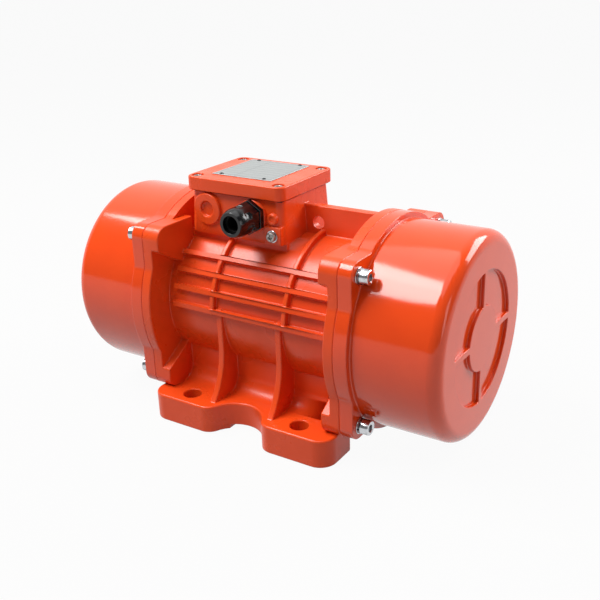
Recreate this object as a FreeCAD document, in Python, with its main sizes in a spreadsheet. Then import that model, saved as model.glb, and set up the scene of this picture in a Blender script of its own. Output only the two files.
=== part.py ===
import FreeCAD, Part
import Sketcher
import math
import os

# Foot-mounted vibration motor: a cast housing with a terminal box on top, a squirrel-cage
# motor inside, and a pair of eccentric weights on each shaft end under a domed cover.
# The shaft runs along X, the feet stand on Z = 0 and the origin lies under the middle of
# the housing.  Most pieces are drawn in the shaft frame, whose origin is on the shaft axis.

V = FreeCAD.Vector
SIDES = (-1, 1)

# name: (value in millimetres or degrees, what it measures)
DIMENSIONS = {
    # housing casting
    "shaft_height": (105, "shaft axis above the feet"),
    "barrel_radius": (70, "outside of the stator barrel"),
    "stator_bore": (62, "radius of the bore that holds the stator"),
    "end_face": (102.4, "middle of the motor to the cover seat"),
    "flange_radius": (97.5, "round part of the end flanges"),
    "flange_thickness": (9.8, "housing flange"),
    "lug_half_width": (88, "flange lugs, across the motor"),
    "lug_half_height": (80, "flange lugs, up and down"),
    "lug_corner": (12.5, "corner radius of the lugs"),
    "boss_length": (8.6, "lug bosses behind the housing flange"),
    "upper_boss_inner": (38, "inner side of the upper lug bosses"),
    "lower_boss_inner": (52, "inner side of the lower lug bosses"),
    "boss_root_width": (61, "where the sloping side of a boss meets the barrel, across"),
    "boss_root_height": (43, "the same point, up from the shaft"),
    "boss_side_height": (59, "where the sloping side of a boss leaves the lug"),
    "rib_height": (5, "cooling ribs above the barrel"),
    "rib_width": (4.5, "cooling rib width"),
    "rib_first_angle": (4, "lowest long rib above the horizontal"),
    "rib_pitch_angle": (13, "from one long rib to the next"),
    "ring_rib_x": (39, "ring ribs from the middle"),
    "crest_half_width": (4, "half the thickness of the top wall"),
    "crest_height": (96.3, "top wall above the shaft"),
    "lifting_hole_radius": (6, "hole in the top wall"),
    "lifting_hole_x": (33.8, "hole in the top wall, from the middle"),
    "lifting_hole_height": (80.6, "hole in the top wall, above the shaft"),
    # feet
    "bolt_spacing_x": (120, "foot bolts along the shaft"),
    "bolt_spacing_y": (170, "foot bolts across the shaft"),
    "foot_hole_radius": (8.5, "foot bolt holes"),
    "foot_half_length": (98, "foot rails, half their length"),
    "foot_half_width": (102, "outside of the foot rails"),
    "foot_inner": (58, "inside of the foot rails"),
    "foot_thickness": (26.5, "foot rails"),
    "foot_corner": (16, "outer corner radius of the rails"),
    "foot_inner_corner": (6, "inner corner radius of the rails"),
    "notch_radius": (28, "notch between the two pads of a rail"),
    "notch_depth": (24, "depth of that notch"),
    "notch_corner": (14, "rounding where the notch meets the pads"),
    "rail_edge": (2, "rounding of the top edge of the rails"),
    "relief_depth": (4, "clearance under the middle of a rail"),
    "relief_half_length": (18, "half the length of that clearance"),
    "wall_outer": (54, "outside of the side walls"),
    "wall_inner": (46, "inside of the side walls"),
    "wall_gap": (12.5, "open gap between the side walls and the right lug bosses"),
    "wall_fillet": (16, "side wall to the top of the rail"),
    "gusset_x": (32, "foot gussets from the middle"),
    "gusset_thickness": (6, "foot gussets"),
    "gusset_outer": (73, "outer edge of a gusset at the barrel"),
    "gusset_top": (8, "top of a gusset above the shaft"),
    "gusset_bend": (30, "where a gusset starts to flare, below the shaft"),
    "gusset_flare_radius": (73, "flare of a gusset"),
    "gusset_foot": (91, "outer edge of a gusset on the rail"),
    # terminal box
    "box_x": (-31.2, "middle of the terminal box"),
    "box_half_length": (52, "foot of the terminal box, along the shaft"),
    "box_half_width": (41.5, "foot of the terminal box, across"),
    "box_draft": (3, "draft angle of the box walls"),
    "box_corner": (7, "corner radius of the box"),
    "box_bottom": (67, "underside of the box above the shaft"),
    "box_rim": (105.5, "rim of the box above the shaft"),
    "box_floor": (73, "inside floor of the box above the shaft"),
    "box_wall": (6, "wall of the box at its rim"),
    "neck_half_width": (36, "neck between the box and the barrel"),
    "entry_face": (43.5, "face of the cable entries in front of the shaft plane"),
    "entry_drop": (14.9, "cable entries below the rim of the box"),
    "entry_radius": (14.8, "raised discs round the cable entries"),
    "entry_hole_radius": (12.6, "cable entry hole"),
    "gland_x": (-11.5, "cable entry with the gland"),
    "blank_x": (-61.5, "blank cable entry"),
    "blank_recess_radius": (7, "recess in the blank entry"),
    "blank_recess_depth": (3, "recess in the blank entry"),
    "wire_hole_radius": (9, "lead hole from the stator to the box"),
    "wire_hole_y": (-22, "lead hole, across"),
    "earth_pad_half": (8.5, "half the width of the earth screw pad"),
    "earth_face": (42.8, "face of the earth screw pad in front of the shaft plane"),
    "earth_x": (10.3, "earth screw"),
    "earth_mark_drop": (15.1, "earth mark below the rim of the box"),
    "earth_mark_radius": (5, "raised disc of the earth mark"),
    "earth_rise": (8, "earth screw above the underside of the box"),
    "earth_radius": (2.5, "earth screw shank"),
    # lid, gasket and plate
    "lid_half_length": (53, "lid, along the shaft"),
    "lid_half_width": (43.75, "lid, across"),
    "lid_thickness": (12.6, "lid"),
    "lid_corner": (8, "corner radius of the lid"),
    "lid_edge": (1.5, "rounding of the lid's top edge"),
    "lid_recess_depth": (6, "hollow under the lid"),
    "lid_recess_margin": (16, "solid border of the lid"),
    "lid_screw_inset": (8.5, "lid screws from the lid's sides"),
    "lid_screw_radius": (2.5, "lid screw shank"),
    "lid_head_radius": (4.4, "lid screw head"),
    "lid_head_height": (3.3, "lid screw head"),
    "lid_bore_radius": (5.5, "counterbore for a lid screw"),
    "lid_bore_depth": (3, "counterbore for a lid screw"),
    "gasket_thickness": (1.5, "lid gasket"),
    "plate_half_length": (32.5, "rating plate, along the shaft"),
    "plate_half_width": (32, "rating plate, across"),
    "plate_thickness": (0.8, "rating plate"),
    "plate_shift_x": (-1, "rating plate from the middle of the lid"),
    "plate_shift_y": (4, "rating plate from the middle of the lid"),
    "rivet_inset_x": (9, "plate rivets from the plate's ends"),
    "rivet_inset_y": (2.6, "plate rivets from the plate's sides"),
    "rivet_radius": (1.2, "plate rivet shank"),
    # weight covers
    "cover_radius": (92.25, "outside of a weight cover"),
    "cover_wall": (5, "wall of a weight cover"),
    "cover_end": (192.5, "middle of the motor to the end of a cover"),
    "cover_edge": (11.5, "rounded end edge of a cover"),
    "cover_flange": (12.7, "cover flange thickness"),
    "cover_root": (1.2, "fillet between the cover and its flange"),
    "cover_inside": (180, "middle of the motor to the inside of a cover's end wall"),
    "field_radius": (72, "sunk field on a cover's end"),
    "field_depth": (2.5, "sunk field on a cover's end"),
    "pocket_radius": (59.5, "outside of the four pockets"),
    "pocket_depth": (5, "depth of the four pockets"),
    "disc_radius": (29, "round boss in the middle of the pockets"),
    "spoke_half_width": (3, "half the width of the ribs between the pockets"),
    "seal_radius": (90.6, "cover seal, to the middle of its cord"),
    "seal_cord": (1.5, "cover seal, cord radius"),
    "screw_y": (75.5, "cover screws, across"),
    "screw_z": (67.5, "cover screws, up and down"),
    "screw_radius": (4, "cover screw shank"),
    "screw_depth": (15.4, "cover screw in the housing"),
    "head_radius": (6.5, "cover screw head"),
    "head_height": (8, "cover screw head"),
    "socket_size": (3.4, "hexagon socket, half its width over corners"),
    "socket_depth": (4.5, "hexagon socket"),
    "flat_washer_radius": (7.5, "flat washer under a cover screw"),
    "flat_washer": (1.2, "flat washer thickness"),
    "spring_washer_radius": (6.8, "spring washer under a cover screw"),
    "spring_washer": (1.6, "spring washer thickness"),
    # bearings and their brackets
    "bearing_bore": (17.5, "bearing inner ring, inside radius"),
    "bearing_radius": (40, "bearing outer ring, outside radius"),
    "bearing_start": (80, "inner side of the bearing from the middle"),
    "bearing_width": (23, "bearing"),
    "inner_race": (23.4, "raceway of the inner ring"),
    "outer_race": (34.6, "raceway of the outer ring"),
    "race_lip": (33, "lips of the outer ring"),
    "lip_width": (3, "lips of the outer ring"),
    "roller_pitch": (29, "rollers from the shaft axis"),
    "roller_radius": (5.3, "roller"),
    "cage_inner": (25.5, "inside of the cage"),
    "cage_outer": (32.5, "outside of the cage"),
    "cage_side": (2.3, "side rings of the cage"),
    "cage_bar": (3.6, "bars of the cage"),
    "bracket_lip": (34, "inner lip of the bearing bracket"),
    "bracket_lip_width": (3, "inner lip of the bearing bracket"),
    "hub_radius": (50, "bearing bracket hub"),
    "spigot_length": (14.4, "bearing bracket in the stator bore"),
    "bracket_radius": (85, "bearing bracket flange"),
    "bracket_thickness": (8, "bearing bracket flange"),
    "bracket_screw_circle": (76, "bracket screws from the shaft axis"),
    "bracket_screw_radius": (3, "bracket screw shank"),
    "bracket_screw_grip": (7.4, "bracket screw in the housing"),
    "bracket_head_radius": (5, "bracket screw head"),
    "bracket_head_height": (6, "bracket screw head"),
    "cap_radius": (54, "bearing cap"),
    "cap_inner": (30, "bearing cap, the part that holds the outer ring"),
    "cap_relief": (2, "bearing cap clear of the inner ring"),
    "cap_screw_circle": (47, "cap screws from the shaft axis"),
    "cap_screw_radius": (2.5, "cap screw shank"),
    "cap_screw_head": (5, "cap screw head"),
    "cap_screw_grip": (9, "cap screw in the bracket"),
    # motor
    "core_half_length": (45, "stator and rotor core, half their length"),
    "rotor_radius": (35.5, "rotor core"),
    "air_gap": (0.5, "between the rotor and the stator"),
    "slot_depth": (15, "stator slots"),
    "slot_width": (4.6, "stator slots"),
    "winding_reach": (64, "middle of the motor to the end of the winding"),
    "winding_outer": (57, "outside of the winding's end turns"),
    "winding_corner": (5, "rounding of the end turns"),
    "cage_ring": (8, "end rings of the rotor cage"),
    "cage_ring_inner": (24, "inside of the rotor cage's end rings"),
    "bar_radius": (2.3, "bars of the rotor cage"),
    "bar_circle": (31, "bars of the rotor cage from the axis"),
    "shaft_radius": (20, "shaft in the rotor core"),
    "shaft_end_radius": (16, "shaft under the weights"),
    "shaft_half_length": (168, "middle of the motor to the end of the shaft"),
    "shaft_chamfer": (1.5, "chamfer of the shaft ends"),
    # weights
    "spacer_radius": (20, "spacer between the bearing and the weights"),
    "spacer_length": (17, "spacer between the bearing and the weights"),
    "weight_radius": (80, "eccentric weight"),
    "weight_thickness": (20, "eccentric weight"),
    "weight_chord": (8, "top edge of the heavy part below the axis"),
    "weight_shoulder": (34, "half the width where the hub begins"),
    "weight_neck": (21, "half the width of the clamp"),
    "weight_neck_height": (20, "where the clamp begins above the axis"),
    "weight_top": (48, "top of the clamp above the axis"),
    "slit_half_width": (2, "half the width of the clamp's slit"),
    "clamp_height": (36, "clamp screw above the axis"),
    "clamp_radius": (5, "clamp screw shank"),
    "clamp_head_radius": (8, "clamp screw head"),
    "clamp_head_height": (10, "clamp screw head"),
    "clamp_nut_height": (8, "clamp screw nut"),
    "key_half_width": (5, "half the width of the key"),
    "key_bottom": (11, "keyway floor from the axis"),
    "key_top": (19, "key, outer side from the axis"),
    "key_length": (18, "key"),
    "end_washer": (2.7, "washer outside the weights"),
    "end_washer_radius": (24, "washer outside the weights"),
    "circlip_width": (1.9, "circlip"),
    "circlip_radius": (19.5, "circlip"),
    "circlip_groove": (14.8, "shaft radius in the circlip groove"),
    # cable gland, along its own axis from the entry face
    "gland_hex": (13.8, "gland hexagons, half their width over flats"),
    "gland_hex_length": (5, "hexagon of the gland body"),
    "gland_thread": (12.4, "gland thread in the box wall"),
    "gland_tail": (16, "gland body behind the entry face"),
    "gland_spigot": (11.4, "gland body inside the nut"),
    "gland_spigot_length": (13, "gland body inside the nut"),
    "gland_bore": (7.6, "bore of the gland body"),
    "seal_pocket": (9.4, "seal pocket in the gland body"),
    "seal_start": (8, "inner end of the gland seal"),
    "cable_radius": (6.5, "cable opening of the gland seal"),
    "seal_length": (18, "gland seal"),
    "nut_hex": (12.8, "gland nut's hexagon, half its width over flats"),
    "nut_hex_length": (9.5, "gland nut's hexagon"),
    "nut_radius": (13.3, "round part of the gland nut"),
    "nut_start": (5.5, "inner end of the gland nut"),
    "nut_length": (25, "gland nut"),
    "nut_mouth": (8, "opening of the gland nut"),
    "nut_end_radius": (10.8, "front rim of the gland nut"),
    "nut_dome": (8.5, "length of the gland nut's rounded front"),
    "locknut_thickness": (5, "locknut inside the box"),
    # terminals
    "block_half_length": (30, "terminal block, along the shaft"),
    "block_half_width": (17, "terminal block, across"),
    "block_height": (8, "terminal block"),
    "block_y": (9, "terminal block, across"),
    "stud_pitch_x": (17, "terminal studs along the block"),
    "stud_pitch_y": (18, "terminal studs across the block"),
    "stud_radius": (2.5, "terminal studs"),
    "stud_height": (12, "terminal studs above the block"),
    "terminal_nut": (3.5, "terminal nuts, half their width over flats"),
    "terminal_nut_height": (3.2, "terminal nuts"),
    # fits
    "seat_gap": (0.02, "radial play of a pressed or bolted seat"),
    "running_gap": (0.06, "radial play of the adjustable weights on the shaft"),
    "screw_gap": (0.4, "radial play of a screw in its through hole"),
    "thread_gap": (0.1, "radial play drawn between a screw and its tapped hole"),
    "axial_gap": (0.3, "gap beside pieces that turn against each other"),
}

ROLLERS = 12
STATOR_SLOTS = 24
ROTOR_BARS = 22
LONG_RIBS = 4
BRACKET_SCREWS = 6
CAP_SCREWS = 4


class Size:
    """A number together with the sheet formula that gives it."""

    def __init__(self, number, formula):
        self.number = float(number)
        self.formula = formula

    @staticmethod
    def of(value):
        return value if isinstance(value, Size) else Size(value, repr(float(value)))

    def __add__(self, other):
        other = Size.of(other)
        return Size(self.number + other.number, f"({self.formula} + {other.formula})")

    def __sub__(self, other):
        other = Size.of(other)
        return Size(self.number - other.number, f"({self.formula} - {other.formula})")

    def __mul__(self, other):
        other = Size.of(other)
        return Size(self.number * other.number, f"({self.formula} * {other.formula})")

    def __truediv__(self, other):
        other = Size.of(other)
        return Size(self.number / other.number, f"({self.formula} / {other.formula})")

    def __radd__(self, other):
        return Size.of(other) + self

    def __rsub__(self, other):
        return Size.of(other) - self

    def __rmul__(self, other):
        return Size.of(other) * self

    def __neg__(self):
        return Size(-self.number, f"(0 - {self.formula})")


def root(value):
    return Size(math.sqrt(value.number), f"sqrt({value.formula})")


def chord_reach(radius, offset):
    """How far a circle reaches along a line that passes its centre at this offset."""
    return root(radius * radius - offset * offset)


doc = FreeCAD.newDocument("vibration_motor")
sheet = doc.addObject("Spreadsheet::Sheet", "dims")
for row, (name, (value, meaning)) in enumerate(DIMENSIONS.items(), start=1):
    sheet.set(f"A{row}", name)
    sheet.set(f"B{row}", str(value))
    sheet.setAlias(f"B{row}", name)
    sheet.set(f"C{row}", meaning)
doc.recompute()


class Sizes:
    """The sheet's values, read as sizes.shaft_height and so on."""

    def __getattr__(self, name):
        return Size(sheet.get(name), f"dims.{name}")


s = Sizes()


# ---------------------------------------------------------------- drawing helpers

def bind(thing, prop, value):
    value = Size.of(value)
    thing.setExpression(prop, value.formula)


def place(thing, at=(0, 0, 0), axis=None, angle=None):
    """Put an object at a point, turned by an angle about an axis through its own origin."""
    if axis is not None:
        turn = angle if isinstance(angle, Size) else Size.of(angle)
        thing.Placement = FreeCAD.Placement(V(0, 0, 0), FreeCAD.Rotation(V(*axis), turn.number))
        if isinstance(angle, Size):
            bind(thing, ".Placement.Rotation.Angle", turn)
    for letter, value in zip("xyz", at):
        if isinstance(value, Size) or value:
            bind(thing, f".Placement.Base.{letter}", value)
    return thing


def in_shaft_frame(thing):
    return place(thing, (0, 0, s.shaft_height))


def new_body(label):
    body = doc.addObject("PartDesign::Body", label)
    body.Label = label
    return body


def new_sketch(body, plane, offset=None):
    """A sketch on one of the body's own planes, moved along the plane's normal."""
    sketch = body.newObject("Sketcher::SketchObject", f"{body.Name}_sketch")
    support = [f for f in body.Origin.OriginFeatures if f.Role == plane][0]
    sketch.AttachmentSupport = [(support, "")]
    sketch.MapMode = "FlatFace"
    if offset is not None:
        bind(sketch, ".AttachmentOffset.Base.z", offset)
    return sketch


def pin_point(sketch, geometry, point, x, y):
    for kind, value in (("DistanceX", Size.of(x)), ("DistanceY", Size.of(y))):
        index = sketch.addConstraint(
            Sketcher.Constraint(kind, -1, 1, geometry, point, value.number))
        sketch.setExpression(f"Constraints[{index}]", value.formula)


def add_circle(sketch, x, y, radius):
    radius = Size.of(radius)
    centre = V(Size.of(x).number, Size.of(y).number, 0)
    index = sketch.addGeometry(Part.Circle(centre, V(0, 0, 1), radius.number), False)
    pin_point(sketch, index, 3, x, y)
    constraint = sketch.addConstraint(Sketcher.Constraint("Radius", index, radius.number))
    sketch.setExpression(f"Constraints[{constraint}]", radius.formula)


def arc_between(start, end, radius, centre_on_left):
    """The shorter arc from start to end, and whether FreeCAD runs it from end to start."""
    half = (end - start) * 0.5
    across = V(-half.y, half.x, 0).normalize()
    reach = math.sqrt(max(radius * radius - half.Length * half.Length, 0))
    centre = start + half + across * (reach if centre_on_left else -reach)
    first, last = (start, end) if centre_on_left else (end, start)
    angles = [math.atan2(p.y - centre.y, p.x - centre.x) for p in (first, last)]
    circle = Part.Circle(centre, V(0, 0, 1), radius)
    return Part.ArcOfCircle(circle, angles[0], angles[1]), not centre_on_left


def add_outline(sketch, corners, arcs=None):
    """A closed outline; arcs gives {side number: (radius, centre is on the left)}."""
    arcs = arcs or {}
    points = [V(Size.of(x).number, Size.of(y).number, 0) for x, y in corners]
    count = len(points)
    ends = []
    first = sketch.GeometryCount
    for side in range(count):
        start, end = points[side], points[(side + 1) % count]
        if side in arcs:
            radius, left = arcs[side]
            curve, backwards = arc_between(start, end, Size.of(radius).number, left)
        else:
            curve, backwards = Part.LineSegment(start, end), False
        sketch.addGeometry(curve, False)
        ends.append((2, 1) if backwards else (1, 2))
    for side in range(count):
        after = (side + 1) % count
        sketch.addConstraint(Sketcher.Constraint(
            "Coincident", first + side, ends[side][1], first + after, ends[after][0]))
    for side, (x, y) in enumerate(corners):
        pin_point(sketch, first + side, ends[side][0], x, y)
    for side, (radius, _) in arcs.items():
        radius = Size.of(radius)
        index = sketch.addConstraint(
            Sketcher.Constraint("Radius", first + side, radius.number))
        sketch.setExpression(f"Constraints[{index}]", radius.formula)


def add_rectangle(sketch, low, high):
    add_outline(sketch, [low, (high[0], low[1]), high, (low[0], high[1])])


def add_hexagon(sketch, x, y, half_flats):
    """A hexagon with two upright sides."""
    side = half_flats / math.sqrt(3)
    add_outline(sketch, [(x + half_flats, y - side), (x + half_flats, y + side),
                         (x, y + side * 2), (x - half_flats, y + side),
                         (x - half_flats, y - side), (x, y - side * 2)])


def feature(body, kind, sketch, **sizes):
    made = body.newObject(f"PartDesign::{kind}", f"{body.Name}_{kind.lower()}")
    made.Profile = sketch
    for prop, value in sizes.items():
        if isinstance(value, (Size, float, int)) and not isinstance(value, bool):
            bind(made, prop, value)
        else:
            setattr(made, prop, value)
    sketch.Visibility = False
    return made


def pad(body, sketch, length, **more):
    return feature(body, "Pad", sketch, Length=length, **more)


def pocket(body, sketch, length, **more):
    """Cut along the sketch's normal, away from its back: Reversed turns it round."""
    return feature(body, "Pocket", sketch, Length=length, **more)


def spin(body, kind, sketch, axis):
    made = feature(body, kind, sketch)
    made.ReferenceAxis = (sketch, [axis])
    made.Angle = 360
    return made


def ring_pattern(body, original, count):
    """Copies of a feature, evenly spaced round the body's X axis."""
    pattern = body.newObject("PartDesign::PolarPattern", f"{body.Name}_pattern")
    pattern.Originals = [original]
    x_axis = [f for f in body.Origin.OriginFeatures if f.Role == "X_Axis"][0]
    pattern.Axis = (x_axis, [""])
    pattern.Angle = 360
    pattern.Occurrences = count
    body.Tip = pattern
    return pattern


def round_edges(body, base, radius, wanted):
    """Fillet the edges of a feature that the test picks out."""
    doc.recompute()
    names = [f"Edge{number}" for number, edge in enumerate(base.Shape.Edges, start=1)
             if wanted(edge)]
    if not names:
        raise RuntimeError(f"{body.Label}: no edge to round")
    fillet = body.newObject("PartDesign::Fillet", f"{body.Name}_fillet")
    fillet.Base = (base, names)
    bind(fillet, "Radius", radius)
    return fillet


def runs_along(edge, axis):
    """Whether a straight edge runs along this unit axis."""
    if edge.Curve.TypeId != "Part::GeomLine":
        return False
    return abs(abs((edge.lastVertex().Point - edge.firstVertex().Point).normalize().dot(axis))
               - 1) < 1e-6


def turned(label, corners, arcs=None):
    """A piece turned about the shaft axis; corners are (along X, radius)."""
    body = new_body(label)
    sketch = new_sketch(body, "XZ_Plane")
    add_outline(sketch, corners, arcs)
    spin(body, "Revolution", sketch, "H_Axis")
    return body


def ring(label, start, length, inner, outer):
    return turned(label, [(start, inner), (start + length, inner),
                          (start + length, outer), (start, outer)])


def block(label, low, high):
    box = doc.addObject("Part::Box", label)
    box.Label = label
    for prop, near, far in zip(("Length", "Width", "Height"), low, high):
        bind(box, prop, Size.of(far) - near)
    return place(box, low)


CYLINDER_TURNS = {"X": ((0, 1, 0), 90), "Y": ((1, 0, 0), -90), "Z": None}


def rod(label, radius, length, at, along="Z"):
    """A cylinder that starts at a point and runs in the positive direction of an axis."""
    cylinder = doc.addObject("Part::Cylinder", label)
    cylinder.Label = label
    bind(cylinder, "Radius", radius)
    bind(cylinder, "Height", length)
    turn = CYLINDER_TURNS[along]
    if turn:
        return place(cylinder, at, *turn)
    return place(cylinder, at)


def combine(kind, label, **links):
    made = doc.addObject(f"Part::{kind}", label)
    made.Label = label
    for prop, value in links.items():
        setattr(made, prop, value)
    return made


def fuse(label, shapes):
    return combine("MultiFuse", label, Shapes=shapes, Refine=True)


def cut(label, base, tool):
    return combine("Cut", label, Base=base, Tool=tool, Refine=True)


def common(label, shapes):
    return combine("MultiCommon", label, Shapes=shapes)


def group(label, members):
    return combine("Compound", label, Links=members)


def mirrored(label, source, normal):
    return combine("Mirroring", label, Source=source, Normal=V(*normal), Base=V(0, 0, 0))


NODES = []


def keep(thing, shaft_frame=True):
    """Put a finished piece on the list of nodes."""
    if shaft_frame:
        in_shaft_frame(thing)
    NODES.append(thing)
    return thing


def keep_pair(right, shaft_frame=True):
    """Keep a piece of the right end and its mirror image on the left end."""
    keep(right, shaft_frame)
    NODES.append(mirrored(right.Label.replace("right_", "left_"), right, (1, 0, 0)))


def on_circle(radius, index, count, first=0.0):
    """Offsets across and up for one of a ring of evenly spaced pieces."""
    angle = math.radians(first + 360.0 * index / count)
    return radius * math.cos(angle), radius * math.sin(angle)


# ---------------------------------------------------------------- shared places

flange_back = s.end_face - s.flange_thickness
boss_start = flange_back - s.boss_length
ground = -s.shaft_height
rail_top = ground + s.foot_thickness
bearing_end = s.bearing_start + s.bearing_width
bracket_face = s.end_face + s.bracket_thickness
weights_start = bearing_end + s.spacer_length
adjustable_start = weights_start + s.weight_thickness + s.axial_gap
weights_end = adjustable_start + s.weight_thickness
washer_start = weights_end + s.axial_gap
circlip_start = washer_start + s.end_washer + s.seat_gap
cover_bore = s.cover_radius - s.cover_wall
field_face = s.cover_end - s.field_depth
cover_seat = s.end_face + s.cover_flange
screw_head_start = cover_seat + s.flat_washer + s.spring_washer
stator_inner = s.rotor_radius + s.air_gap
entry_height = s.box_rim - s.entry_drop
earth_height = s.box_bottom + s.earth_rise
lid_bottom = s.box_rim + s.gasket_thickness
lid_top = lid_bottom + s.lid_thickness
lid_screws_x = [s.box_x + (s.lid_half_length - s.lid_screw_inset) * side for side in SIDES]
lid_screws_y = [(s.lid_half_width - s.lid_screw_inset) * side for side in SIDES]
rim_half_length = s.lid_half_length - 3
rim_half_width = s.lid_half_width - 4.25
cavity_half_length = rim_half_length - s.box_wall
cavity_half_width = rim_half_width - s.box_wall


# ---------------------------------------------------------------- housing casting

def lug_plate(body, start, thickness):
    """The four-cornered plate whose corners are the lugs of a flange."""
    sketch = new_sketch(body, "YZ_Plane", start)
    add_rectangle(sketch, (-s.lug_half_width, -s.lug_half_height),
                  (s.lug_half_width, s.lug_half_height))
    plate = pad(body, sketch, thickness)
    return round_edges(body, plate, s.lug_corner, lambda e: runs_along(e, V(1, 0, 0)))


def lug_boss(label, up, inner):
    """The boss behind one lug, with a side that slopes back to the barrel."""
    body = new_body(label)
    sketch = new_sketch(body, "YZ_Plane", boss_start)
    outer, side = s.lug_half_width, s.boss_side_height * up
    add_outline(sketch, [
        (-outer, side), (-outer, s.lug_half_height * up), (-inner, s.lug_half_height * up),
        (-inner, s.boss_root_height * up * 0.8),
        (-s.boss_root_width, s.boss_root_height * up)])
    base = pad(body, sketch, s.boss_length + s.flange_thickness / 2)
    corner = V(0, -outer.number, s.lug_half_height.number * up)
    round_edges(body, base, s.lug_corner, lambda e: (
        runs_along(e, V(1, 0, 0))
        and math.hypot(e.CenterOfMass.y - corner.y, e.CenterOfMass.z - corner.z) < 1e-3))
    return body


def housing_end():
    """Right end of the casting: round flange, four lugs and their bosses."""
    disc = rod("flange_disc", s.flange_radius, s.flange_thickness, (flange_back, 0, 0), "X")
    plate = new_body("flange_lugs")
    lug_plate(plate, flange_back, s.flange_thickness)
    upper = lug_boss("upper_boss", 1, s.upper_boss_inner)
    lower = lug_boss("lower_boss", -1, s.lower_boss_inner)
    near = fuse("near_bosses", [upper, lower])
    far = mirrored("far_bosses", near, (0, 1, 0))
    return fuse("right_end", [disc, plate, near, far])


def foot_rail():
    """Near foot rail: two bolt pads with a round notch between them."""
    body = new_body("near_rail")
    plan = new_sketch(body, "XY_Plane", ground)
    outer, inner, reach = s.foot_half_width, s.foot_inner, s.foot_half_length
    notch = chord_reach(s.notch_radius, s.notch_radius - s.notch_depth)
    add_outline(plan, [(-reach, -outer), (-notch, -outer), (notch, -outer), (reach, -outer),
                       (reach, -inner), (-reach, -inner)], {1: (s.notch_radius, False)})
    rail = pad(body, plan, s.foot_thickness)

    def upright_at(x, y):
        return lambda e: (runs_along(e, V(0, 0, 1))
                          and abs(abs(e.CenterOfMass.x) - x.number) < 1e-3
                          and abs(e.CenterOfMass.y - y.number) < 1e-3)

    rail = round_edges(body, rail, s.foot_corner, upright_at(reach, -outer))
    rail = round_edges(body, rail, s.foot_inner_corner, upright_at(reach, -inner))
    rail = round_edges(body, rail, s.notch_corner, upright_at(notch, -outer))
    top = rail_top.number
    round_edges(body, rail, s.rail_edge, lambda e: abs(e.BoundBox.ZMin - top) < 1e-3)
    relief = new_sketch(body, "XY_Plane", ground)
    add_rectangle(relief, (-s.relief_half_length, -outer - 1), (s.relief_half_length, 0))
    pocket(body, relief, s.relief_depth, Reversed=True)
    holes = new_sketch(body, "XY_Plane", ground)
    for side in SIDES:
        add_circle(holes, s.bolt_spacing_x / 2 * side, -s.bolt_spacing_y / 2,
                   s.foot_hole_radius)
    pocket(body, holes, s.foot_thickness, Reversed=True)
    return body


def side_wall():
    """Near side wall from the barrel down to the rail, with a concave foot."""
    body = new_body("near_wall")
    sketch = new_sketch(body, "YZ_Plane", -boss_start)
    fillet_top = rail_top + s.wall_fillet
    under_barrel = -chord_reach(s.barrel_radius, s.wall_outer) / 2
    foot_line = -s.wall_outer - s.wall_fillet
    add_outline(sketch, [
        (-s.wall_inner, under_barrel), (-s.wall_outer, under_barrel),
        (-s.wall_outer, fillet_top), (foot_line, rail_top),
        (foot_line, rail_top - s.relief_depth),
        (-s.foot_inner - 1, rail_top - s.relief_depth),
        (-s.foot_inner - 1, ground + s.relief_depth),
        (-s.wall_inner, ground + s.relief_depth)], {2: (s.wall_fillet, False)})
    pad(body, sketch, boss_start * 2 - s.wall_gap)
    return body


def foot_gusset(side):
    """One gusset that flares from the barrel out to the rail."""
    body = new_body("near_gusset_a" if side < 0 else "near_gusset_b")
    sketch = new_sketch(body, "YZ_Plane", s.gusset_x * side - s.gusset_thickness / 2)
    add_outline(sketch, [
        (-s.wall_inner, s.gusset_top), (-s.gusset_outer, s.gusset_top),
        (-s.gusset_outer, -s.gusset_bend), (-s.gusset_foot, rail_top),
        (-s.gusset_foot, rail_top - s.relief_depth),
        (-s.wall_inner, rail_top - s.relief_depth)], {2: (s.gusset_flare_radius, False)})
    pad(body, sketch, s.gusset_thickness)
    return body


def long_rib(index):
    body = new_body(f"long_rib_{index}")
    sketch = new_sketch(body, "YZ_Plane", -boss_start)
    add_rectangle(sketch, (-s.barrel_radius - s.rib_height, -s.rib_width / 2),
                  (-s.barrel_radius + s.rib_height, s.rib_width / 2))
    pad(body, sketch, boss_start * 2)
    return place(body, axis=(-1, 0, 0), angle=s.rib_first_angle + s.rib_pitch_angle * index)


def ring_rib(side):
    """A ring rib over the upper half of the barrel."""
    name = "left" if side < 0 else "right"
    start = s.ring_rib_x * side - s.rib_width / 2
    outside = s.barrel_radius + s.rib_height
    disc = rod(f"{name}_ring_disc", outside, s.rib_width, (start, 0, 0), "X")
    upper = block(f"{name}_ring_upper", (start, -outside, s.rib_width / 2),
                  (start + s.rib_width, outside, outside))
    return common(f"{name}_ring_rib", [disc, upper])


def near_side():
    parts = [foot_rail(), side_wall()]
    parts += [foot_gusset(side) for side in SIDES]
    parts += [long_rib(index) for index in range(LONG_RIBS)]
    return fuse("near_side", parts)


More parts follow.
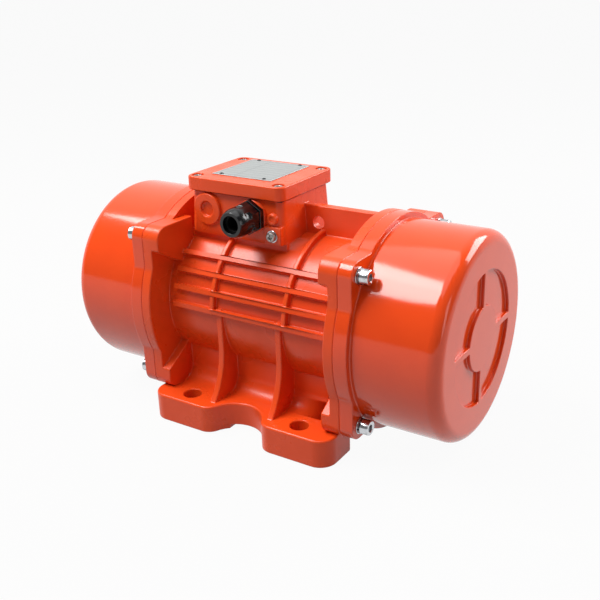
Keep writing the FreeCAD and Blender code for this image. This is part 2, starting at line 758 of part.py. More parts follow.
def terminal_box():
    """Outside of the terminal box, its neck, cable entries and earth pad."""
    walls = new_body("box_walls")
    plan = new_sketch(walls, "XY_Plane", s.box_bottom)
    add_rectangle(plan, (s.box_x - s.box_half_length, -s.box_half_width),
                  (s.box_x + s.box_half_length, s.box_half_width))
    sides = pad(walls, plan, s.box_rim - s.box_bottom, TaperAngle=-s.box_draft)
    top, bottom = s.box_rim.number, s.box_bottom.number
    round_edges(walls, sides, s.box_corner, lambda e: (
        abs(e.BoundBox.ZMax - top) < 1e-3 and abs(e.BoundBox.ZMin - bottom) < 1e-3))
    neck = block("box_neck", (s.box_x - s.box_half_length, -s.neck_half_width, 0),
                 (s.box_x + s.box_half_length, s.neck_half_width, s.box_bottom + 1))
    entries = [rod(name, s.entry_radius, s.box_wall * 1.5,
                   (x, -s.entry_face, entry_height), "Y")
               for name, x in (("gland_entry", s.gland_x), ("blank_entry", s.blank_x))]
    earth_pad = block(
        "earth_pad", (s.earth_x - s.earth_pad_half, -s.earth_face, s.box_bottom),
        (s.earth_x + s.earth_pad_half, -s.earth_face + s.box_wall,
         earth_height + s.earth_pad_half))
    earth_mark = rod("earth_mark", s.earth_mark_radius, s.box_wall,
                     (s.earth_x, -s.earth_face, s.box_rim - s.earth_mark_drop), "Y")
    return fuse("box_outside", [walls, neck, earth_pad, earth_mark] + entries)


def box_cavity(label, bottom, top):
    """The space inside the box, which leaves a post for each lid screw."""
    space = block(f"{label}_space", (s.box_x - cavity_half_length, -cavity_half_width, bottom),
                  (s.box_x + cavity_half_length, cavity_half_width, top))
    posts = [rod(f"{label}_post", s.box_corner, top - bottom, (x, y, bottom))
             for x in lid_screws_x for y in lid_screws_y]
    return cut(label, space, fuse(f"{label}_posts", posts))


def housing_cuts():
    """Every bore, hole and hollow of the casting."""
    reach = s.end_face + 1
    tools = [rod("stator_bore_tool", s.stator_bore, reach * 2, (-reach, 0, 0), "X"),
             box_cavity("box_cavity", s.box_floor, s.box_rim + 1),
             rod("wire_hole", s.wire_hole_radius, s.box_floor,
                 (s.box_x, s.wire_hole_y, s.stator_bore / 2)),
             rod("gland_hole", s.entry_hole_radius, s.box_wall * 2,
                 (s.gland_x, -s.entry_face - 1, entry_height), "Y"),
             rod("blank_recess", s.blank_recess_radius, s.blank_recess_depth + 1,
                 (s.blank_x, -s.entry_face - 1, entry_height), "Y"),
             rod("earth_hole", s.earth_radius + s.thread_gap, s.box_wall * 1.5 + 1,
                 (s.earth_x, -s.earth_face - 1, earth_height), "Y"),
             rod("lifting_hole", s.lifting_hole_radius, s.crest_half_width * 4,
                 (s.lifting_hole_x, -s.crest_half_width * 2, s.lifting_hole_height), "Y")]
    tools += [rod("lid_screw_hole", s.lid_screw_radius + s.thread_gap, s.box_wall * 4,
                  (x, y, s.box_rim - s.box_wall * 4 + 1))
              for x in lid_screws_x for y in lid_screws_y]
    for side in SIDES:
        seat = s.end_face * side
        for y, z in [(s.screw_y * a, s.screw_z * b) for a in SIDES for b in SIDES]:
            tools.append(end_hole("cover_screw_hole", s.screw_radius, s.screw_depth,
                                  seat, side, y, z))
        for index in range(BRACKET_SCREWS):
            y, z = on_circle(s.bracket_screw_circle, index, BRACKET_SCREWS)
            tools.append(end_hole("bracket_screw_hole", s.bracket_screw_radius,
                                  s.bracket_screw_grip, seat, side, y, z))
    return fuse("housing_cuts", tools)


def end_hole(label, radius, depth, seat, side, y, z):
    """A tapped hole in an end face of the housing, a little deeper than its screw."""
    length = depth + 1
    start = seat - length + 1 if side > 0 else seat - 1
    return rod(label, radius + s.thread_gap, length, (start, y, z), "X")


def motor_body():
    barrel = rod("barrel", s.barrel_radius, s.end_face * 2, (-s.end_face, 0, 0), "X")
    crest = block("crest", (-s.end_face, -s.crest_half_width, 0),
                  (s.end_face, s.crest_half_width, s.crest_height))
    right_end = housing_end()
    left_end = mirrored("left_end", right_end, (1, 0, 0))
    near = near_side()
    far = mirrored("far_side", near, (0, 1, 0))
    ring_ribs = [ring_rib(side) for side in SIDES]
    solid = fuse("housing_solid", [barrel, crest, right_end, left_end, near, far,
                                   terminal_box()] + ring_ribs)
    keep(cut("motor_body", solid, housing_cuts()))


# ---------------------------------------------------------------- covers and their screws

def weight_cover():
    body = new_body("right_weight_cover")
    lug_plate(body, s.end_face, s.cover_flange)
    outside = new_sketch(body, "XZ_Plane")
    add_outline(outside, [
        (s.end_face, 0), (s.end_face, s.flange_radius), (cover_seat, s.flange_radius),
        (cover_seat, s.cover_radius + s.cover_root), (cover_seat + s.cover_root, s.cover_radius),
        (s.cover_end - s.cover_edge, s.cover_radius), (s.cover_end, s.cover_radius - s.cover_edge),
        (s.cover_end, s.field_radius), (field_face, s.field_radius - s.field_depth),
        (field_face, 0)], {3: (s.cover_root, True), 5: (s.cover_edge, False)})
    spin(body, "Revolution", outside, "H_Axis")
    inside = new_sketch(body, "XZ_Plane")
    inner_edge = s.cover_edge - s.cover_wall + 1
    groove = s.seal_cord + s.seat_gap * 2
    add_outline(inside, [
        (s.end_face - 1, 0), (s.end_face - 1, s.seal_radius + groove),
        (s.end_face + groove * 2, s.seal_radius + groove),
        (s.end_face + groove * 2, s.seal_radius - groove),
        (s.end_face, s.seal_radius - groove), (s.end_face, cover_bore),
        (s.cover_inside - inner_edge, cover_bore), (s.cover_inside, cover_bore - inner_edge),
        (s.cover_inside, 0)], {6: (inner_edge, False)})
    spin(body, "Groove", inside, "H_Axis")
    pockets = new_sketch(body, "YZ_Plane", field_face)
    add_circle(pockets, 0, 0, s.pocket_radius)
    add_circle(pockets, 0, 0, s.disc_radius)
    pocket(body, pockets, s.pocket_depth)
    spokes = new_sketch(body, "YZ_Plane", field_face - s.pocket_depth)
    reach, half = s.pocket_radius + 1, s.spoke_half_width
    add_outline(spokes, [(half, half), (half, reach), (-half, reach), (-half, half),
                         (-reach, half), (-reach, -half), (-half, -half), (-half, -reach),
                         (half, -reach), (half, -half), (reach, -half), (reach, half)])
    pad(body, spokes, s.pocket_depth)
    holes = new_sketch(body, "YZ_Plane", cover_seat)
    for a in SIDES:
        for b in SIDES:
            add_circle(holes, s.screw_y * a, s.screw_z * b, s.screw_radius + s.screw_gap)
    pocket(body, holes, s.cover_flange + 1)
    keep_pair(body)


def cap_screw(label, start, grip, radius, head_radius, head_height, y, z, socket=None):
    """A screw along X with its head outwards; start is the seat under the head."""
    body = new_body(label)
    shank = new_sketch(body, "YZ_Plane", start - grip)
    add_circle(shank, 0, 0, radius)
    pad(body, shank, grip)
    head = new_sketch(body, "YZ_Plane", start)
    add_circle(head, 0, 0, head_radius)
    pad(body, head, head_height)
    if socket:
        size, depth = socket
        hexagon = new_sketch(body, "YZ_Plane", start + head_height)
        add_hexagon(hexagon, Size.of(0), Size.of(0), size)
        pocket(body, hexagon, depth)
    return place(body, (0, y, z))


def cover_screws():
    screws, washers = [], []
    grip = s.flat_washer + s.spring_washer + s.cover_flange + s.screw_depth - s.axial_gap
    hole = s.screw_radius + s.screw_gap
    for y, z in [(s.screw_y * a, s.screw_z * b) for a in SIDES for b in SIDES]:
        screws.append(cap_screw("cover_screw", screw_head_start, grip, s.screw_radius,
                                s.head_radius, s.head_height, y, z,
                                (s.socket_size, s.socket_depth)))
        flat = ring("flat_washer", cover_seat, s.flat_washer, hole, s.flat_washer_radius)
        spring = ring("spring_washer", cover_seat + s.flat_washer, s.spring_washer, hole,
                      s.spring_washer_radius)
        washers += [place(flat, (0, y, z)), place(spring, (0, y, z))]
    keep_pair(group("right_cover_screws", screws))
    keep_pair(group("right_cover_washers", washers))


def cover_seal():
    seal = doc.addObject("Part::Torus", "right_cover_seal")
    seal.Label = "right_cover_seal"
    bind(seal, "Radius1", s.seal_radius)
    bind(seal, "Radius2", s.seal_cord)
    place(seal, (s.end_face + s.seal_cord + s.seat_gap, 0, s.shaft_height), (0, 1, 0), 90)
    keep_pair(seal, shaft_frame=False)


# ---------------------------------------------------------------- bearings

def bearing_bracket():
    spigot = s.stator_bore - s.seat_gap
    spigot_start = s.end_face - s.spigot_length
    seat = s.cap_radius + s.axial_gap
    lip_start = s.bearing_start - s.bracket_lip_width
    body = turned("right_bearing_bracket", [
        (lip_start, s.bracket_lip), (s.bearing_start, s.bracket_lip),
        (s.bearing_start, s.bearing_radius), (bearing_end, s.bearing_radius),
        (bearing_end, seat), (bracket_face, seat), (bracket_face, s.bracket_radius),
        (s.end_face, s.bracket_radius), (s.end_face, spigot), (spigot_start, spigot),
        (spigot_start, s.hub_radius), (lip_start, s.hub_radius)])
    through = new_sketch(body, "YZ_Plane", bracket_face)
    for index in range(BRACKET_SCREWS):
        y, z = on_circle(s.bracket_screw_circle, index, BRACKET_SCREWS)
        add_circle(through, y, z, s.bracket_screw_radius + s.screw_gap)
    pocket(body, through, s.bracket_thickness + 1)
    tapped = new_sketch(body, "YZ_Plane", bearing_end)
    for index in range(CAP_SCREWS):
        y, z = on_circle(s.cap_screw_circle, index, CAP_SCREWS, 45)
        add_circle(tapped, y, z, s.cap_screw_radius + s.thread_gap)
    pocket(body, tapped, s.cap_screw_grip + 1)
    keep_pair(body)
    screws = []
    for index in range(BRACKET_SCREWS):
        y, z = on_circle(s.bracket_screw_circle, index, BRACKET_SCREWS)
        screws.append(cap_screw(
            "bracket_screw", bracket_face, s.bracket_thickness + s.bracket_screw_grip - 0.5,
            s.bracket_screw_radius, s.bracket_head_radius, s.bracket_head_height, y, z))
    keep_pair(group("right_bracket_screws", screws))


def bearing():
    """A cylindrical roller bearing: two rings, the rollers and their cage."""
    start, end = s.bearing_start, bearing_end
    keep_pair(turned("right_bearing_outer_ring", [
        (start, s.race_lip), (start + s.lip_width, s.race_lip),
        (start + s.lip_width, s.outer_race), (end - s.lip_width, s.outer_race),
        (end - s.lip_width, s.race_lip), (end, s.race_lip),
        (end, s.bearing_radius - s.seat_gap), (start, s.bearing_radius - s.seat_gap)]))
    keep_pair(ring("right_bearing_inner_ring", start, s.bearing_width,
                   s.bearing_bore + s.seat_gap, s.inner_race))
    roller_start = start + s.lip_width + s.axial_gap
    roller_length = s.bearing_width - (s.lip_width + s.axial_gap) * 2
    rollers = [rod("roller", s.roller_radius, roller_length,
                   (roller_start, *on_circle(s.roller_pitch, index, ROLLERS)), "X")
               for index in range(ROLLERS)]
    keep_pair(group("right_bearing_rollers", rollers))

    side_start = start + s.lip_width - s.cage_side
    cage = ring("right_bearing_cage", side_start, s.cage_side, s.cage_inner, s.cage_outer)
    bar = new_sketch(cage, "YZ_Plane", side_start)
    add_rectangle(bar, (s.cage_inner + 1, -s.cage_bar / 2), (s.cage_outer - 1, s.cage_bar / 2))
    bars_length = s.bearing_width - (s.lip_width - s.cage_side) * 2
    ring_pattern(cage, pad(cage, bar, bars_length), ROLLERS)
    far_side = new_sketch(cage, "YZ_Plane", end - s.lip_width)
    add_circle(far_side, 0, 0, s.cage_outer)
    add_circle(far_side, 0, 0, s.cage_inner)
    pad(cage, far_side, s.cage_side)
    turn_between_rollers = Size.of(180.0 / ROLLERS)
    place(cage, axis=(1, 0, 0), angle=turn_between_rollers)
    keep_pair(cage)


def bearing_cap():
    bore = s.spacer_radius + s.axial_gap
    relief = bearing_end + s.cap_relief
    body = turned("right_bearing_cap", [
        (bearing_end, s.cap_inner), (bearing_end, s.cap_radius), (bracket_face, s.cap_radius),
        (bracket_face, bore), (relief, bore), (relief, s.cap_inner)])
    head_depth = s.cap_screw_head - s.cap_screw_radius
    clear = s.cap_screw_radius + s.screw_gap
    screws = []
    for index in range(CAP_SCREWS):
        y, z = on_circle(s.cap_screw_circle, index, CAP_SCREWS, 45)
        sink = new_sketch(body, "YZ_Plane", bracket_face)
        add_circle(sink, y, z, clear)
        pocket(body, sink, bracket_face - bearing_end + 1)
        seat = body.newObject("PartDesign::SubtractiveCone", "countersink")
        bind(seat, "Radius1", s.cap_screw_radius)
        bind(seat, "Radius2", s.cap_screw_head)
        bind(seat, "Height", head_depth)
        place(seat, (bracket_face - head_depth, y, z), (0, 1, 0), 90)
        screw = turned("cap_screw", [
            (bearing_end - s.cap_screw_grip, 0),
            (bearing_end - s.cap_screw_grip, s.cap_screw_radius),
            (bracket_face - head_depth, s.cap_screw_radius),
            (bracket_face, s.cap_screw_head), (bracket_face, 0)])
        screws.append(place(screw, (0, y, z)))
    keep_pair(body)
    keep_pair(group("right_bearing_cap_screws", screws))


# ---------------------------------------------------------------- stator and rotor

def stator():
    core = new_body("stator_core")
    start, length = -s.core_half_length, s.core_half_length * 2
    section = new_sketch(core, "YZ_Plane", start)
    add_circle(section, 0, 0, s.stator_bore - s.seat_gap)
    add_circle(section, 0, 0, stator_inner)
    pad(core, section, length)
    slot = new_sketch(core, "YZ_Plane", start)
    add_rectangle(slot, (stator_inner - 1, -s.slot_width / 2),
                  (stator_inner + s.slot_depth, s.slot_width / 2))
    ring_pattern(core, pocket(core, slot, length, Reversed=True), STATOR_SLOTS)
    keep(core)

    inner = stator_inner + 2
    corner, reach = s.winding_corner, s.winding_reach
    turns_start = s.core_half_length + 1
    winding = turned("stator_winding", [
        (turns_start, inner), (reach - corner, inner), (reach, inner + corner),
        (reach, s.winding_outer - corner), (reach - corner, s.winding_outer),
        (turns_start, s.winding_outer)], {1: (corner, True), 3: (corner, True)})
    coil = new_sketch(winding, "YZ_Plane", -turns_start - 1)
    half = s.slot_width / 2 - s.thread_gap
    add_rectangle(coil, (inner + 1, -half), (stator_inner + s.slot_depth - s.thread_gap, half))
    ring_pattern(winding, pad(winding, coil, (turns_start + 1) * 2), STATOR_SLOTS)
    far_turns = new_sketch(winding, "XZ_Plane")
    add_outline(far_turns, [
        (-turns_start, inner), (-reach + corner, inner), (-reach, inner + corner),
        (-reach, s.winding_outer - corner), (-reach + corner, s.winding_outer),
        (-turns_start, s.winding_outer)], {1: (corner, False), 3: (corner, False)})
    spin(winding, "Revolution", far_turns, "H_Axis")
    keep(winding)


def rotor():
    start, length = -s.core_half_length, s.core_half_length * 2
    core = new_body("rotor_core")
    section = new_sketch(core, "YZ_Plane", start)
    add_circle(section, 0, 0, s.rotor_radius)
    add_circle(section, 0, 0, s.shaft_radius + s.seat_gap)
    pad(core, section, length)
    hole = new_sketch(core, "YZ_Plane", start)
    add_circle(hole, s.bar_circle, 0, s.bar_radius + s.thread_gap)
    ring_pattern(core, pocket(core, hole, length, Reversed=True), ROTOR_BARS)
    keep(core)

    cage = ring("rotor_cage", s.core_half_length, s.cage_ring, s.cage_ring_inner,
                s.rotor_radius)
    bar = new_sketch(cage, "YZ_Plane", start - 1)
    add_circle(bar, s.bar_circle, 0, s.bar_radius)
    ring_pattern(cage, pad(cage, bar, length + 2), ROTOR_BARS)
    far_ring = new_sketch(cage, "YZ_Plane", start - s.cage_ring)
    add_circle(far_ring, 0, 0, s.rotor_radius)
    add_circle(far_ring, 0, 0, s.cage_ring_inner)
    pad(cage, far_ring, s.cage_ring)
    keep(cage)


def shaft_half(side):
    """Outline of one shaft end as (x, radius), from the middle outwards."""
    groove_start = circlip_start - s.seat_gap
    groove_end = circlip_start + s.circlip_width + s.seat_gap
    end = s.shaft_half_length
    steps = [(s.bearing_start, s.shaft_radius), (s.bearing_start, s.bearing_bore),
             (bearing_end, s.bearing_bore), (bearing_end, s.shaft_end_radius),
             (groove_start, s.shaft_end_radius), (groove_start, s.circlip_groove),
             (groove_end, s.circlip_groove), (groove_end, s.shaft_end_radius),
             (end - s.shaft_chamfer, s.shaft_end_radius),
             (end, s.shaft_end_radius - s.shaft_chamfer), (end, Size.of(0))]
    return [(x * side, radius) for x, radius in steps]


def shaft():
    body = turned("shaft", shaft_half(-1)[::-1] + shaft_half(1))
    for side in SIDES:
        middle = (weights_start + s.weight_thickness / 2) * side
        half = s.key_length / 2 + s.seat_gap
        keyway = new_sketch(body, "XY_Plane", -s.shaft_end_radius - 1)
        add_rectangle(keyway, (middle - half, -s.key_half_width - s.seat_gap),
                      (middle + half, s.key_half_width + s.seat_gap))
        pocket(body, keyway, s.shaft_end_radius + 1 - s.key_bottom, Reversed=True)
    keep(body)

    middle, half = weights_start + s.weight_thickness / 2, s.key_length / 2
    keep_pair(block("right_weight_key",
                    (middle - half, -s.key_half_width, -s.key_top),
                    (middle + half, s.key_half_width, -s.key_bottom - s.seat_gap)))
    bind(NODES[-2], ".Placement.Base.z", s.shaft_height - s.key_top)
    keep_pair(ring("right_shaft_spacer", bearing_end, s.spacer_length,
                   s.shaft_end_radius + s.seat_gap, s.spacer_radius))
    keep_pair(ring("right_end_washer", washer_start, s.end_washer,
                   s.shaft_end_radius + s.seat_gap, s.end_washer_radius))
    clip = ring("right_circlip", circlip_start, s.circlip_width,
                s.circlip_groove + s.seat_gap, s.circlip_radius)
    gap = new_sketch(clip, "YZ_Plane", circlip_start)
    add_rectangle(gap, (-s.key_half_width, 0), (s.key_half_width, s.circlip_radius + 1))
    pocket(clip, gap, s.circlip_width, Reversed=True)
    keep_pair(clip)


def eccentric_weight(label, start, play, keyed):
    """A half-moon weight with a slit hub that clamps on the shaft."""
    body = new_body(label)
    outline = new_sketch(body, "YZ_Plane", start)
    reach = chord_reach(s.weight_radius, s.weight_chord)
    corners = [(reach, -s.weight_chord), (s.weight_shoulder, -s.weight_chord),
               (s.weight_neck, s.weight_neck_height), (s.weight_neck, s.weight_top),
               (-s.weight_neck, s.weight_top), (-s.weight_neck, s.weight_neck_height),
               (-s.weight_shoulder, -s.weight_chord), (-reach, -s.weight_chord)]
    add_outline(outline, corners, {7: (s.weight_radius, True)})
    pad(body, outline, s.weight_thickness)
    bore = new_sketch(body, "YZ_Plane", start)
    add_circle(bore, 0, 0, s.shaft_end_radius + play)
    pocket(body, bore, s.weight_thickness, Reversed=True)
    slit = new_sketch(body, "YZ_Plane", start)
    add_rectangle(slit, (-s.slit_half_width, 0), (s.slit_half_width, s.weight_top + 1))
    pocket(body, slit, s.weight_thickness, Reversed=True)
    if keyed:
        keyway = new_sketch(body, "YZ_Plane", start)
        half = s.key_half_width + s.seat_gap
        add_rectangle(keyway, (-half, -s.key_top - s.seat_gap), (half, 0))
        pocket(body, keyway, s.weight_thickness, Reversed=True)
    across = new_sketch(body, "XZ_Plane", -s.weight_neck - 1)
    add_circle(across, start + s.weight_thickness / 2, s.clamp_height,
               s.clamp_radius + s.screw_gap)
    pocket(body, across, (s.weight_neck + 1) * 2, Reversed=True)
    keep_pair(body)


def clamp_screw(label, start):
    """The screw and nut that close the slit of a weight."""
    x = start + s.weight_thickness / 2
    shank = rod(f"{label}_shank", s.clamp_radius, s.weight_neck * 2 + s.clamp_nut_height,
                (x, -s.weight_neck - s.clamp_nut_height, s.clamp_height), "Y")
    head = rod(f"{label}_head", s.clamp_head_radius, s.clamp_head_height,
               (x, s.weight_neck, s.clamp_height), "Y")
    nut = new_body(f"{label}_nut")
    hexagon = new_sketch(nut, "XZ_Plane", s.weight_neck)
    add_hexagon(hexagon, x, s.clamp_height, s.clamp_head_radius)
    add_circle(hexagon, x, s.clamp_height, s.clamp_radius + s.thread_gap)
    pad(nut, hexagon, s.clamp_nut_height)
    keep_pair(group(label, [fuse(f"{label}_screw", [shank, head]), nut]))


def weights():
    eccentric_weight("right_fixed_weight", weights_start, s.seat_gap, keyed=True)
    eccentric_weight("right_adjustable_weight", adjustable_start, s.running_gap, keyed=False)
    clamp_screw("right_fixed_clamp", weights_start)
    clamp_screw("right_adjustable_clamp", adjustable_start)


# ---------------------------------------------------------------- terminal box pieces

def lid():
    body = new_body("terminal_box_lid")
    plan = new_sketch(body, "XY_Plane", lid_bottom)
    add_rectangle(plan, (s.box_x - s.lid_half_length, -s.lid_half_width),
                  (s.box_x + s.lid_half_length, s.lid_half_width))
    plate = pad(body, plan, s.lid_thickness)
    plate = round_edges(body, plate, s.lid_corner, lambda e: runs_along(e, V(0, 0, 1)))
    top = lid_top.number
    round_edges(body, plate, s.lid_edge, lambda e: abs(e.BoundBox.ZMin - top) < 1e-3)
    hollow = new_sketch(body, "XY_Plane", lid_bottom)
    half_length = s.lid_half_length - s.lid_recess_margin
    half_width = s.lid_half_width - s.lid_recess_margin
    add_rectangle(hollow, (s.box_x - half_length, -half_width),
                  (s.box_x + half_length, half_width))
    pocket(body, hollow, s.lid_recess_depth, Reversed=True)
    for radius, depth in ((s.lid_bore_radius, s.lid_bore_depth),
                          (s.lid_screw_radius + s.screw_gap, s.lid_thickness)):
        holes = new_sketch(body, "XY_Plane", lid_top)
        for x in lid_screws_x:
            for y in lid_screws_y:
                add_circle(holes, x, y, radius)
        pocket(body, holes, depth)
    rivet_holes = new_sketch(body, "XY_Plane", lid_top)
    for x, y in rivet_places():
        add_circle(rivet_holes, x, y, s.rivet_radius + s.thread_gap)
    pocket(body, rivet_holes, s.lid_thickness / 3)
    keep(body)

    screws = []
    seat = lid_top - s.lid_bore_depth
    grip = s.lid_thickness - s.lid_bore_depth + s.gasket_thickness + s.box_wall * 3
    for x in lid_screws_x:
        for y in lid_screws_y:
            shank = rod("lid_screw_shank", s.lid_screw_radius, grip, (x, y, seat - grip))
            head = rod("lid_screw_head", s.lid_head_radius, s.lid_head_height, (x, y, seat))
            screws.append(fuse("lid_screw", [shank, head]))
    keep(group("lid_screws", screws))


def gasket():
    edge = 0.5
    sheet_blank = block(
        "gasket_blank", (s.box_x - rim_half_length + edge, -rim_half_width + edge, s.box_rim),
        (s.box_x + rim_half_length - edge, rim_half_width - edge, lid_bottom))
    opening = box_cavity("gasket_opening", s.box_rim - 1, lid_bottom + 1)
    holes = [rod("gasket_hole", s.lid_screw_radius + s.screw_gap, s.gasket_thickness + 2,
                 (x, y, s.box_rim - 1)) for x in lid_screws_x for y in lid_screws_y]
    keep(cut("lid_gasket", sheet_blank, fuse("gasket_cuts", [opening] + holes)))


def rivet_places():
    middle_x = s.box_x + s.plate_shift_x
    return [(middle_x + (s.plate_half_length - s.rivet_inset_x) * a,
             s.plate_shift_y + (s.plate_half_width - s.rivet_inset_y) * b)
            for a in SIDES for b in SIDES]


def rating_plate():
    middle_x = s.box_x + s.plate_shift_x
    plate = new_body("rating_plate")
    sketch = new_sketch(plate, "XY_Plane", lid_top)
    add_rectangle(sketch,
                  (middle_x - s.plate_half_length, s.plate_shift_y - s.plate_half_width),
                  (middle_x + s.plate_half_length, s.plate_shift_y + s.plate_half_width))
    for x, y in rivet_places():
        add_circle(sketch, x, y, s.rivet_radius + s.thread_gap)
    pad(plate, sketch, s.plate_thickness)
    keep(plate)
    rivets = []
    head_seat = lid_top + s.plate_thickness
    depth = s.lid_thickness / 3 + s.plate_thickness - 0.5
    for x, y in rivet_places():
        shank = rod("rivet_shank", s.rivet_radius, depth, (x, y, head_seat - depth))
        head = rod("rivet_head", s.rivet_radius * 1.6, s.plate_thickness, (x, y, head_seat))
        rivets.append(fuse("rivet", [shank, head]))
    keep(group("rating_plate_rivets", rivets))


def terminals():
    top = s.box_floor + s.block_height
    base = block("terminal_base", (s.box_x - s.block_half_length, s.block_y - s.block_half_width,
                                   s.box_floor),
                 (s.box_x + s.block_half_length, s.block_y + s.block_half_width, top))
    places = [(s.box_x + s.stud_pitch_x * column, s.block_y + s.stud_pitch_y / 2 * line)
              for column in (-1, 0, 1) for line in SIDES]
    foot = s.box_floor + 1
    holes = [rod("stud_hole", s.stud_radius + s.thread_gap, s.block_height, (x, y, foot))
             for x, y in places]
    keep(cut("terminal_block", base, fuse("stud_holes", holes)))
    studs = [rod("stud", s.stud_radius, s.block_height - 1 + s.stud_height, (x, y, foot))
             for x, y in places]
    keep(group("terminal_studs", studs))
    nuts = []
    for x, y in places:
        nut = new_body("terminal_nut_blank")
        sketch = new_sketch(nut, "XY_Plane", top)
        add_hexagon(sketch, x, y, s.terminal_nut)
        add_circle(sketch, x, y, s.stud_radius + s.thread_gap)
        pad(nut, sketch, s.terminal_nut_height)
        nuts.append(nut)
    keep(group("terminal_nuts", nuts))


def earth_screw():
    washer_thickness, head_height = 1.2, 3.5
    face = -s.earth_face
    washer = rod("earth_washer_disc", s.earth_radius * 2.2, washer_thickness,
                 (s.earth_x, face - washer_thickness, earth_height), "Y")
    hole = rod("earth_washer_hole", s.earth_radius + s.thread_gap, washer_thickness + 2,
               (s.earth_x, face - washer_thickness - 1, earth_height), "Y")
    keep(cut("earth_washer", washer, hole))
    shank = rod("earth_shank", s.earth_radius, s.box_wall + washer_thickness,
                (s.earth_x, face - washer_thickness, earth_height), "Y")
    head = rod("earth_head", s.earth_radius * 1.8, head_height,
               (s.earth_x, face - washer_thickness - head_height, earth_height), "Y")
    keep(fuse("earth_screw", [shank, head]))


# ---------------------------------------------------------------- cable gland

def gland_turned(label, corners, arcs=None):
    """A gland piece turned about its own axis; corners are (radius, distance outwards)."""
    body = new_body(label)
    sketch = new_sketch(body, "XY_Plane")
    add_outline(sketch, [(radius, -Size.of(along)) for radius, along in corners], arcs)
    spin(body, "Revolution", sketch, "V_Axis")
    return body


def keep_on_gland(body):
    NODES.append(place(body, (s.gland_x, -s.entry_face, s.shaft_height + entry_height)))


def cable_gland():
    hex_end = s.gland_hex_length
    spigot_end = hex_end + s.gland_spigot_length
    body = gland_turned("gland_body", [
        (s.gland_bore, -s.gland_tail), (s.gland_thread, -s.gland_tail), (s.gland_thread, 0),
        (s.gland_spigot, 0), (s.gland_spigot, spigot_end), (s.seal_pocket, spigot_end),
        (s.seal_pocket, s.seal_start), (s.gland_bore, s.seal_start)])
    hexagon = new_sketch(body, "XZ_Plane")
    add_hexagon(hexagon, Size.of(0), Size.of(0), s.gland_hex)
    add_circle(hexagon, 0, 0, s.gland_spigot - 1)
    pad(body, hexagon, hex_end)
    keep_on_gland(body)

    seal_end = s.seal_start + s.seal_length
    outside = s.seal_pocket - s.thread_gap
    keep_on_gland(gland_turned("gland_seal", [
        (s.cable_radius, s.seal_start), (outside, s.seal_start),
        (outside, seal_end), (s.cable_radius, seal_end)]))

    nut_end = s.nut_start + s.nut_length
    thread = s.gland_spigot + s.thread_gap
    throat = spigot_end + 1
    dome_start = nut_end - s.nut_dome
    dome_fall = s.nut_radius - s.nut_end_radius
    dome_radius = (s.nut_dome * s.nut_dome + dome_fall * dome_fall) / dome_fall / 2
    nut = gland_turned("gland_nut", [
        (thread, s.nut_start), (s.nut_radius, s.nut_start), (s.nut_radius, dome_start),
        (s.nut_end_radius, nut_end), (s.nut_mouth, nut_end), (s.nut_mouth, seal_end),
        (s.seal_pocket + s.thread_gap, seal_end), (s.seal_pocket + s.thread_gap, throat),
        (thread, throat)], {2: (dome_radius, False)})
    grip = new_sketch(nut, "XZ_Plane", s.nut_start)
    add_hexagon(grip, Size.of(0), Size.of(0), s.nut_hex)
    add_circle(grip, 0, 0, thread)
    pad(nut, grip, s.nut_hex_length)
    keep_on_gland(nut)

    locknut = new_body("gland_locknut")
    inside_wall = s.entry_face - cavity_half_width
    sketch = new_sketch(locknut, "XZ_Plane", -inside_wall - s.locknut_thickness)
    add_hexagon(sketch, Size.of(0), Size.of(0), s.gland_hex)
    add_circle(sketch, 0, 0, s.gland_thread + s.thread_gap)
    pad(locknut, sketch, s.locknut_thickness)
    keep_on_gland(locknut)


# ---------------------------------------------------------------- build, check and write

motor_body()
weight_cover()
cover_screws()
cover_seal()
bearing_bracket()
bearing()
bearing_cap()
stator()
rotor()
shaft()
weights()
lid()
gasket()
rating_plate()
terminals()
earth_screw()
cable_gland()
doc.recompute()

for thing in doc.Objects:
    if any(state in ("Invalid", "Error") for state in thing.State):
        raise RuntimeError(f"{thing.Label} failed: {thing.State}")
    if thing.TypeId in ("PartDesign::Pocket", "PartDesign::Groove"):
        if thing.Shape.Volume > thing.BaseFeature.Shape.Volume - 0.1:
            raise RuntimeError(f"{thing.Label} removed nothing")
os.makedirs("parts", exist_ok=True)
for node in NODES:
    shape = node.Shape
    if shape.isNull() or not shape.isValid() or not shape.Solids:
        raise RuntimeError(f"{node.Label} has no valid solid")
for node in NODES:
    node.Shape.exportStep(f"parts/{node.Label}.step")
    print(f"{node.Label}: {len(node.Shape.Solids)} solids, {node.Shape.Volume:.0f} mm3")
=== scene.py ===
import logging
import math
from collections.abc import Iterable, Sequence
from dataclasses import dataclass
from enum import Enum

import bmesh
import bpy
from mathutils import Matrix, Vector


